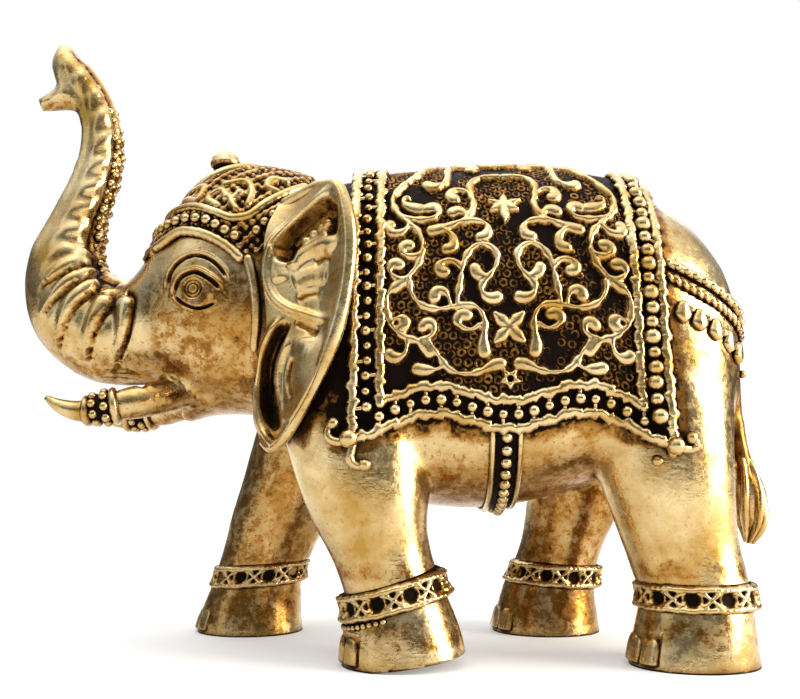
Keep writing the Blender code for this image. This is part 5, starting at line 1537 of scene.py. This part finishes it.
def make_tail_tuft():
    """The tuft of the tail: a spindle with locks that twist down it."""
    rows = resample(TAIL, count=200)
    rows = rows[np.searchsorted(-rows[:, 2], -TUFT_TOP):]
    lateral, outward = limb_frame(rows[:, :3])
    share = np.linspace(0.0, 1.0, len(rows))[:, None]
    turn = turns(60)[None]
    wave = np.cos(6 * turn + share * 7.0)
    size = (0.6 + 0.46 * ease(share, 0.0, 0.22)) * (1 + 0.2 * wave * ease(share, 0.0, 0.3))
    a = (rows[:, 3:4] * size * np.cos(turn))[..., None]
    b = (rows[:, 4:5] * size * np.sin(turn))[..., None]
    rings = rows[:, None, :3] + lateral[:, None] * a + outward[:, None] * b
    dark = ease(-wave, 0.2, 0.9) * ease(share, 0.0, 0.3)
    return closed_rings(rings, dark * 0.9)


def make_trunk_strip():
    """The carved strip up the trunk's back: a bar edged with lumps of uneven size on both sides."""
    line = np.array(TRUNK_STRIP)
    path = resample(np.c_[line[:, 0], np.zeros(len(line)), line[:, 1]], step=0.2)
    across = np.array((0.0, 1.0, 0.0))
    ahead = unit(np.gradient(path, axis=0))
    out = unit(np.cross(across, ahead))
    out *= -1 if out[len(out) // 2, 0] < 0 else 1
    run = run_of(path)
    path = path - out * 0.7
    wave = np.sin(run * 2 * math.pi / 1.9)
    surfaces = [tube(path, out, 2.5 + 0.35 * wave, 1.9 + 0.3 * wave, 14, patina=0.35)]
    beads = resample(path, step=1.45)
    normals = np.array([np.interp(run_of(beads), run, column) for column in out.T]).T
    uneven = 1 + 0.28 * np.sin(np.arange(len(beads)) * 2.3)
    for side in (-1, 1):
        sway = np.cos(np.arange(len(beads)) * 1.9)[:, None]
        places = beads + (0.0, side * 1.15, 0.0) + normals * 0.25 * sway
        way = unit(normals + (0.0, side * 0.9, 0.0))
        surfaces.append(balls(places, way, 1.15 * uneven, 0.1))
    surfaces.append(balls(beads + normals * 0.55, unit(normals), 1.05 * uneven[::-1], 0.1))
    return join(surfaces)


# Finishes

FINISH = "hand_polished_antique_brass"
FLOOR_GLOW = 0.42
# The sky from the floor's height up: where, which of the stage's colours, how bright
SKY = (
    (0.0, "low_light", 0.18),
    (0.30, "side_light", 0.28),
    (0.62, "top_light", 1.0),
    (0.82, "top_light", 2.1),
)
SKY_POWER = 2.2
# Soft boxes, in metres and watts: place, width and height, power, colour
LIGHTS = {
    "sun_side": ((0.53, -0.16, 0.20), (0.32, 0.36), 6.0, "FFF8EE"),
    "fill": ((-0.50, -0.34, 0.22), (0.22, 0.50), 0.35, "DCE8F4"),
    "overhead": ((-0.10, -0.10, 0.60), (0.45, 0.35), 0.6, "FFFFFF"),
    "behind": ((0.0, 1.10, 0.80), (1.60, 0.60), 4.0, "FFFFFF"),
}
LIT_PLACE = (0.0, 0.0, 0.045)
CAMERA_X = 0.6


def linear(code):
    """A colour written as sRGB hex, in linear light."""
    parts = [int(code[i:i + 2], 16) / 255 for i in (0, 2, 4)]
    return (*[c / 12.92 if c <= 0.04045 else ((c + 0.055) / 1.055) ** 2.4 for c in parts], 1.0)


def add_node(tree, kind, settings=None, inputs=None, links=None):
    """A node with its settings, its sockets' values, and what its sockets are fed from."""
    node = tree.nodes.new(kind)
    for key, value in (settings or {}).items():
        setattr(node, key, value)
    for key, value in (inputs or {}).items():
        node.inputs[key].default_value = value
    for key, source in (links or {}).items():
        tree.links.new(source, node.inputs[key])
    return node


def antiqued_brass():
    """Cast brass, polished by hand over a dark wax patina: bright champagne crests, brown-black hollows.

    Its dark colours also paint shade: in crevices, under beads and bars, and on the skin's shaded places.
    """
    colours = bpy.context.scene.elephant_finish
    material = bpy.data.materials.new(FINISH)
    material.use_nodes = True
    tree = material.node_tree
    tree.nodes.clear()
    place = add_node(tree, "ShaderNodeTexCoord").outputs["Object"]
    patina = add_node(tree, "ShaderNodeAttribute", {"attribute_name": "patina"}).outputs["Fac"]

    def noise(size, detail, roughness=0.6):
        """Noise with features of that size in mm, over the metal."""
        inputs = {"Scale": 1 / (size * MM), "Detail": detail, "Roughness": roughness}
        return add_node(tree, "ShaderNodeTexNoise", {}, inputs, {"Vector": place}).outputs["Fac"]

    def between(source, low, high, start=0.0, end=1.0):
        """A smooth step from start, below low, to end, above high."""
        inputs = {"From Min": low, "From Max": high, "To Min": start, "To Max": end}
        settings = {"interpolation_type": "SMOOTHSTEP"}
        return add_node(tree, "ShaderNodeMapRange", settings, inputs, {"Value": source}).outputs[0]

    def maths(operation, first, second):
        """Two values put together; the second may be a plain number."""
        inputs = {1: second} if isinstance(second, float) else {}
        links = {0: first} if inputs else {0: first, 1: second}
        return add_node(tree, "ShaderNodeMath", {"operation": operation}, inputs, links).outputs[0]

    # Clouds of tarnish about 7 mm across, mottling of 1.5 mm, and specks of 0.5 mm the polish missed
    clouds = noise(7.0, 4.0)
    mottle = noise(1.5, 4.0, 0.7)
    specks = between(noise(0.6, 2.0), 0.33, 0.41, 1.0, 0.0)
    # Painted shade: ambient occlusion within 2.4 mm darkens crevices and joins, over the hollows' patina
    crevice = add_node(tree, "ShaderNodeAmbientOcclusion", {"samples": 6}, {"Distance": 2.4 * MM})
    hidden = between(crevice.outputs["AO"], 0.30, 0.80, 0.95, 0.0)
    # Patina and painted shade from the meshes, broken up by the mottling and solid where strongest
    broken = maths("MULTIPLY", patina, between(mottle, 0.30, 0.62, 1.12, 0.42))
    solid = between(patina, 0.8, 0.97)
    patina_and_shade_cover = maths("MAXIMUM", maths("MAXIMUM", broken, solid), hidden)
    speckled = maths("ADD", patina_and_shade_cover, maths("MULTIPLY", specks, 0.16))
    dark = between(speckled, 0.18, 0.80)
    tone = add_node(tree, "ShaderNodeValToRGB", links={"Fac": clouds})
    tone.color_ramp.elements[0].position = 0.32
    tone.color_ramp.elements[0].color = colours.deep_brass
    tone.color_ramp.elements[1].position = 0.66
    tone.color_ramp.elements[1].color = colours.pale_brass
    # Brown where patina and painted shade are thin: a wax stain, and the painted half shade
    worn = add_node(tree, "ShaderNodeMix", {"data_type": "RGBA"}, {7: colours.stained_and_shaded_brass}, {
        0: between(speckled, 0.02, 0.35), 6: tone.outputs[0]}).outputs[2]
    colour = add_node(tree, "ShaderNodeMix", {"data_type": "RGBA"}, {7: colours.patina},
                      {0: dark, 6: worn}).outputs[2]
    metal = between(dark, 0.2, 1.0, 1.0, 0.8)
    rough = maths("ADD", between(dark, 0.0, 1.0, 0.19, 0.6), between(mottle, 0.35, 0.7, 0.0, 0.16))
    # The casting's grain, 0.9 mm across, and the marks of the buff, far finer one way than the other
    stretch = add_node(tree, "ShaderNodeMapping", {}, {"Scale": (0.22, 1.0, 1.0)}, {"Vector": place})
    marks = add_node(tree, "ShaderNodeTexNoise", {}, {"Scale": 1 / (0.35 * MM), "Detail": 2.0},
                     {"Vector": stretch.outputs[0]})
    height = maths("ADD", noise(0.9, 3.0), maths("MULTIPLY", marks.outputs["Fac"], 0.35))
    relief = {"Strength": 0.45, "Distance": 0.1 * MM}
    bump = add_node(tree, "ShaderNodeBump", {}, relief, {"Height": height})
    shader = add_node(tree, "ShaderNodeBsdfPrincipled", {}, {"Specular IOR Level": 0.2}, {
        "Base Color": colour, "Metallic": metal, "Roughness": rough, "Normal": bump.outputs[0]})
    add_node(tree, "ShaderNodeOutputMaterial", links={"Surface": shader.outputs[0]})
    return material


def sky(stage):
    """Studio surroundings: bright above, dim and cool round the sides, and a plain pale backdrop."""
    world = bpy.data.worlds.new("studio")
    world.use_nodes = True
    tree = world.node_tree
    tree.nodes.clear()
    ray = add_node(tree, "ShaderNodeLightPath").outputs["Is Camera Ray"]
    way = add_node(tree, "ShaderNodeTexCoord").outputs["Generated"]
    up = add_node(tree, "ShaderNodeSeparateXYZ", links={0: way}).outputs["Z"]
    ramp = add_node(tree, "ShaderNodeValToRGB", links={"Fac": up})
    while len(ramp.color_ramp.elements) < len(SKY):
        ramp.color_ramp.elements.new(0.5)
    for element, (position, colour, power) in zip(ramp.color_ramp.elements, SKY):
        element.position = position
        element.color = (*[part * power / SKY_POWER for part in getattr(stage, colour)[:3]], 1.0)
    light = add_node(tree, "ShaderNodeBackground", {}, {"Strength": SKY_POWER}, {"Color": ramp.outputs[0]})
    backdrop = add_node(tree, "ShaderNodeBackground", {}, {"Color": stage.backdrop, "Strength": 1.0})
    shaders = {0: ray, 1: light.outputs[0], 2: backdrop.outputs[0]}
    mix = add_node(tree, "ShaderNodeMixShader", links=shaders)
    add_node(tree, "ShaderNodeOutputWorld", links={"Surface": mix.outputs[0]})
    return world


def pale_floor(colour, glow):
    """A matt white paper sweep; the little light of its own keeps its far end as pale as the near one."""
    material = bpy.data.materials.new("matt_paper_sweep")
    material.use_nodes = True
    shader = material.node_tree.nodes["Principled BSDF"]
    shader.inputs["Base Color"].default_value = colour
    shader.inputs["Roughness"].default_value = 0.85
    shader.inputs["Emission Color"].default_value = colour
    shader.inputs["Emission Strength"].default_value = glow
    return material


def finish():
    """The casting's one finish, made once."""
    return bpy.data.materials.get(FINISH) or antiqued_brass()


# The add-on


class ElephantFinish(bpy.types.PropertyGroup):
    """Colours of the figure's finish."""

    pale_brass: bpy.props.FloatVectorProperty(
        name="Pale brass", description="Brass where it is polished most", subtype="COLOR", size=4,
        min=0.0, max=1.0, default=linear("D8C190"))
    deep_brass: bpy.props.FloatVectorProperty(
        name="Deep brass", description="Brass where the polish is thinner", subtype="COLOR", size=4,
        min=0.0, max=1.0, default=linear("AA843F"))
    # Also the colour of the painted half shade on the skin
    stained_and_shaded_brass: bpy.props.FloatVectorProperty(
        name="Brown brass", description="Brass stained by a thin film of wax", subtype="COLOR", size=4,
        min=0.0, max=1.0, default=linear("9A6A2C"))
    # Also the colour of the painted shade: in crevices, under beads and bars, and on the skin
    patina: bpy.props.FloatVectorProperty(
        name="Patina", description="The dark wax left in the hollows", subtype="COLOR", size=4,
        min=0.0, max=1.0, default=linear("160C06"))


class ElephantStage(bpy.types.PropertyGroup):
    """The floor, the lights and the camera."""

    floor_size: bpy.props.FloatProperty(
        name="Floor size", description="Length of each side of the floor", default=6.0, unit="LENGTH")
    floor_colour: bpy.props.FloatVectorProperty(
        name="Floor colour", description="Colour of the floor", subtype="COLOR", size=4,
        min=0.0, max=1.0, default=linear("D2D0CC"))
    backdrop: bpy.props.FloatVectorProperty(
        name="Backdrop", description="Colour behind the figure", subtype="COLOR", size=4,
        min=0.0, max=1.0, default=linear("FFFFFF"))
    top_light: bpy.props.FloatVectorProperty(
        name="Light above", description="Colour of the light from above", subtype="COLOR", size=4,
        min=0.0, max=1.0, default=linear("F4F8FF"))
    side_light: bpy.props.FloatVectorProperty(
        name="Light round the sides", description="Colour of the light from all sides",
        subtype="COLOR", size=4, min=0.0, max=1.0, default=linear("CFDDEA"))
    low_light: bpy.props.FloatVectorProperty(
        name="Light near the floor", description="Colour of the light at the floor's height",
        subtype="COLOR", size=4, min=0.0, max=1.0, default=linear("D9B98A"))
    camera_distance: bpy.props.FloatProperty(
        name="Camera distance", description="From the figure's middle plane to the camera",
        default=0.140, unit="LENGTH")
    camera_height: bpy.props.FloatProperty(
        name="Camera height", description="Above the floor", default=0.02535, unit="LENGTH")
    camera_tilt: bpy.props.FloatProperty(
        name="Camera tilt", description="How far the camera looks up", default=0.1295, subtype="ANGLE")
    focal_length: bpy.props.FloatProperty(
        name="Focal length", description="Of the camera, in millimetres", default=41.715)


class MakeBody(bpy.types.Operator):
    """Make the animal's skin"""

    bl_idname = "elephant.make_body"
    bl_label = "Body"

    def execute(self, context):
        make_body(finish())
        return {"FINISHED"}


class MakeCloth(bpy.types.Operator):
    """Make both flanks of the saddle cloth, with its ropes and beads"""

    bl_idname = "elephant.make_cloth"
    bl_label = "Saddle cloth"

    def execute(self, context):
        for side, word in SIDES:
            add_mesh("saddle_cloth_" + word, make_cloth(side), finish())
        add_mesh("cloth_ropes_and_beads", make_cloth_beads(), finish())
        return {"FINISHED"}


class MakeTrim(bpy.types.Operator):
    """Make the corner curls, the girth and the crupper"""

    bl_idname = "elephant.make_trim"
    bl_label = "Girth and crupper"

    def execute(self, context):
        add_mesh("girth_and_crupper", make_trim(), finish())
        return {"FINISHED"}


class MakeEars(bpy.types.Operator):
    """Make both ears"""

    bl_idname = "elephant.make_ears"
    bl_label = "Ears"

    def execute(self, context):
        for side, word in SIDES:
            add_mesh("ear_" + word, make_ear(side), finish())
        return {"FINISHED"}


class MakeTusks(bpy.types.Operator):
    """Make both tusks with their collars"""

    bl_idname = "elephant.make_tusks"
    bl_label = "Tusks"

    def execute(self, context):
        for side, word in SIDES:
            add_mesh("tusk_" + word, make_tusk(side), finish())
        return {"FINISHED"}


class MakeHeaddress(bpy.types.Operator):
    """Make the cap, its bands and beads, and the strip up the trunk"""

    bl_idname = "elephant.make_headdress"
    bl_label = "Headdress"

    def execute(self, context):
        add_mesh("headdress", make_headdress(), finish())
        add_mesh("trunk_strip", make_trunk_strip(), finish())
        return {"FINISHED"}


class MakeAnklets(bpy.types.Operator):
    """Make the four anklets"""

    bl_idname = "elephant.make_anklets"
    bl_label = "Anklets"

    def execute(self, context):
        for leg, side, tilt, word in LEGS:
            add_mesh("anklet_" + word, make_anklet(leg, side, tilt), finish())
        return {"FINISHED"}


class MakeNailsAndTail(bpy.types.Operator):
    """Make the toenails and the tail's tuft"""

    bl_idname = "elephant.make_nails_and_tail"
    bl_label = "Nails and tail"

    def execute(self, context):
        add_mesh("toenails", make_nails(), finish())
        add_mesh("tail_tuft", make_tail_tuft(), finish())
        return {"FINISHED"}


def area_light(name, place, size, power, colour):
    """A soft box that faces the figure."""
    light = bpy.data.lights.new(name, "AREA")
    light.shape = "RECTANGLE"
    light.size, light.size_y = size
    light.energy = power
    light.color = linear(colour)[:3]
    lamp = add_object(name, light)
    lamp.location = place
    lamp.rotation_euler = (Vector(LIT_PLACE) - Vector(place)).to_track_quat("-Z", "Y").to_euler()


class MakeStage(bpy.types.Operator):
    """Make the floor, the soft studio light and the camera"""

    bl_idname = "elephant.make_stage"
    bl_label = "Stage"

    def execute(self, context):
        scene = context.scene
        stage = scene.elephant_stage
        half = stage.floor_size / 2
        mesh = bpy.data.meshes.new("floor")
        corners = [(-half, -half, 0.0), (half, -half, 0.0), (half, half, 0.0), (-half, half, 0.0)]
        mesh.from_pydata(corners, [], [(0, 1, 2, 3)])
        mesh.materials.append(pale_floor(stage.floor_colour, FLOOR_GLOW))
        floor = add_object("floor", mesh)
        for name, light in LIGHTS.items():
            area_light(name, *light)
        scene.world = sky(stage)
        camera = add_object("camera", bpy.data.cameras.new("camera"))
        camera.data.sensor_width = 36.0
        camera.data.lens = stage.focal_length
        camera.data.clip_start = 0.005
        camera.location = ((CAMERA_X + SHIFT) * MM, -stage.camera_distance, stage.camera_height)
        camera.rotation_euler = (math.pi / 2 + stage.camera_tilt, 0.0, 0.0)
        scene.camera = camera
        scene.view_settings.view_transform = "Standard"
        return {"FINISHED"}


MAKERS = (MakeStage, MakeBody, MakeCloth, MakeTrim, MakeEars, MakeTusks, MakeHeaddress, MakeAnklets,
          MakeNailsAndTail)


class ElephantPanel(bpy.types.Panel):
    """Lists the figure's pieces in the sidebar"""

    bl_idname = "VIEW3D_PT_elephant"
    bl_label = "Brass elephant"
    bl_space_type = "VIEW_3D"
    bl_region_type = "UI"
    bl_category = "Elephant"

    def draw(self, context):
        for maker in MAKERS:
            self.layout.operator(maker.bl_idname)
        for name in ("pale_brass", "deep_brass", "stained_and_shaded_brass", "patina"):
            self.layout.prop(context.scene.elephant_finish, name)


CLASSES = (ElephantFinish, ElephantStage, *MAKERS, ElephantPanel)


def register():
    """Adds the classes and their settings to the program."""
    for entry in CLASSES:
        bpy.utils.register_class(entry)
    bpy.types.Scene.elephant_finish = bpy.props.PointerProperty(type=ElephantFinish)
    bpy.types.Scene.elephant_stage = bpy.props.PointerProperty(type=ElephantStage)


def unregister():
    """Takes them out again."""
    del bpy.types.Scene.elephant_stage
    del bpy.types.Scene.elephant_finish
    for entry in reversed(CLASSES):
        bpy.utils.unregister_class(entry)


def main():
    """Makes every piece."""
    register()
    for maker in MAKERS:
        group, name = maker.bl_idname.split(".")
        getattr(getattr(bpy.ops, group), name)()


if __name__ == "__main__":
    main()
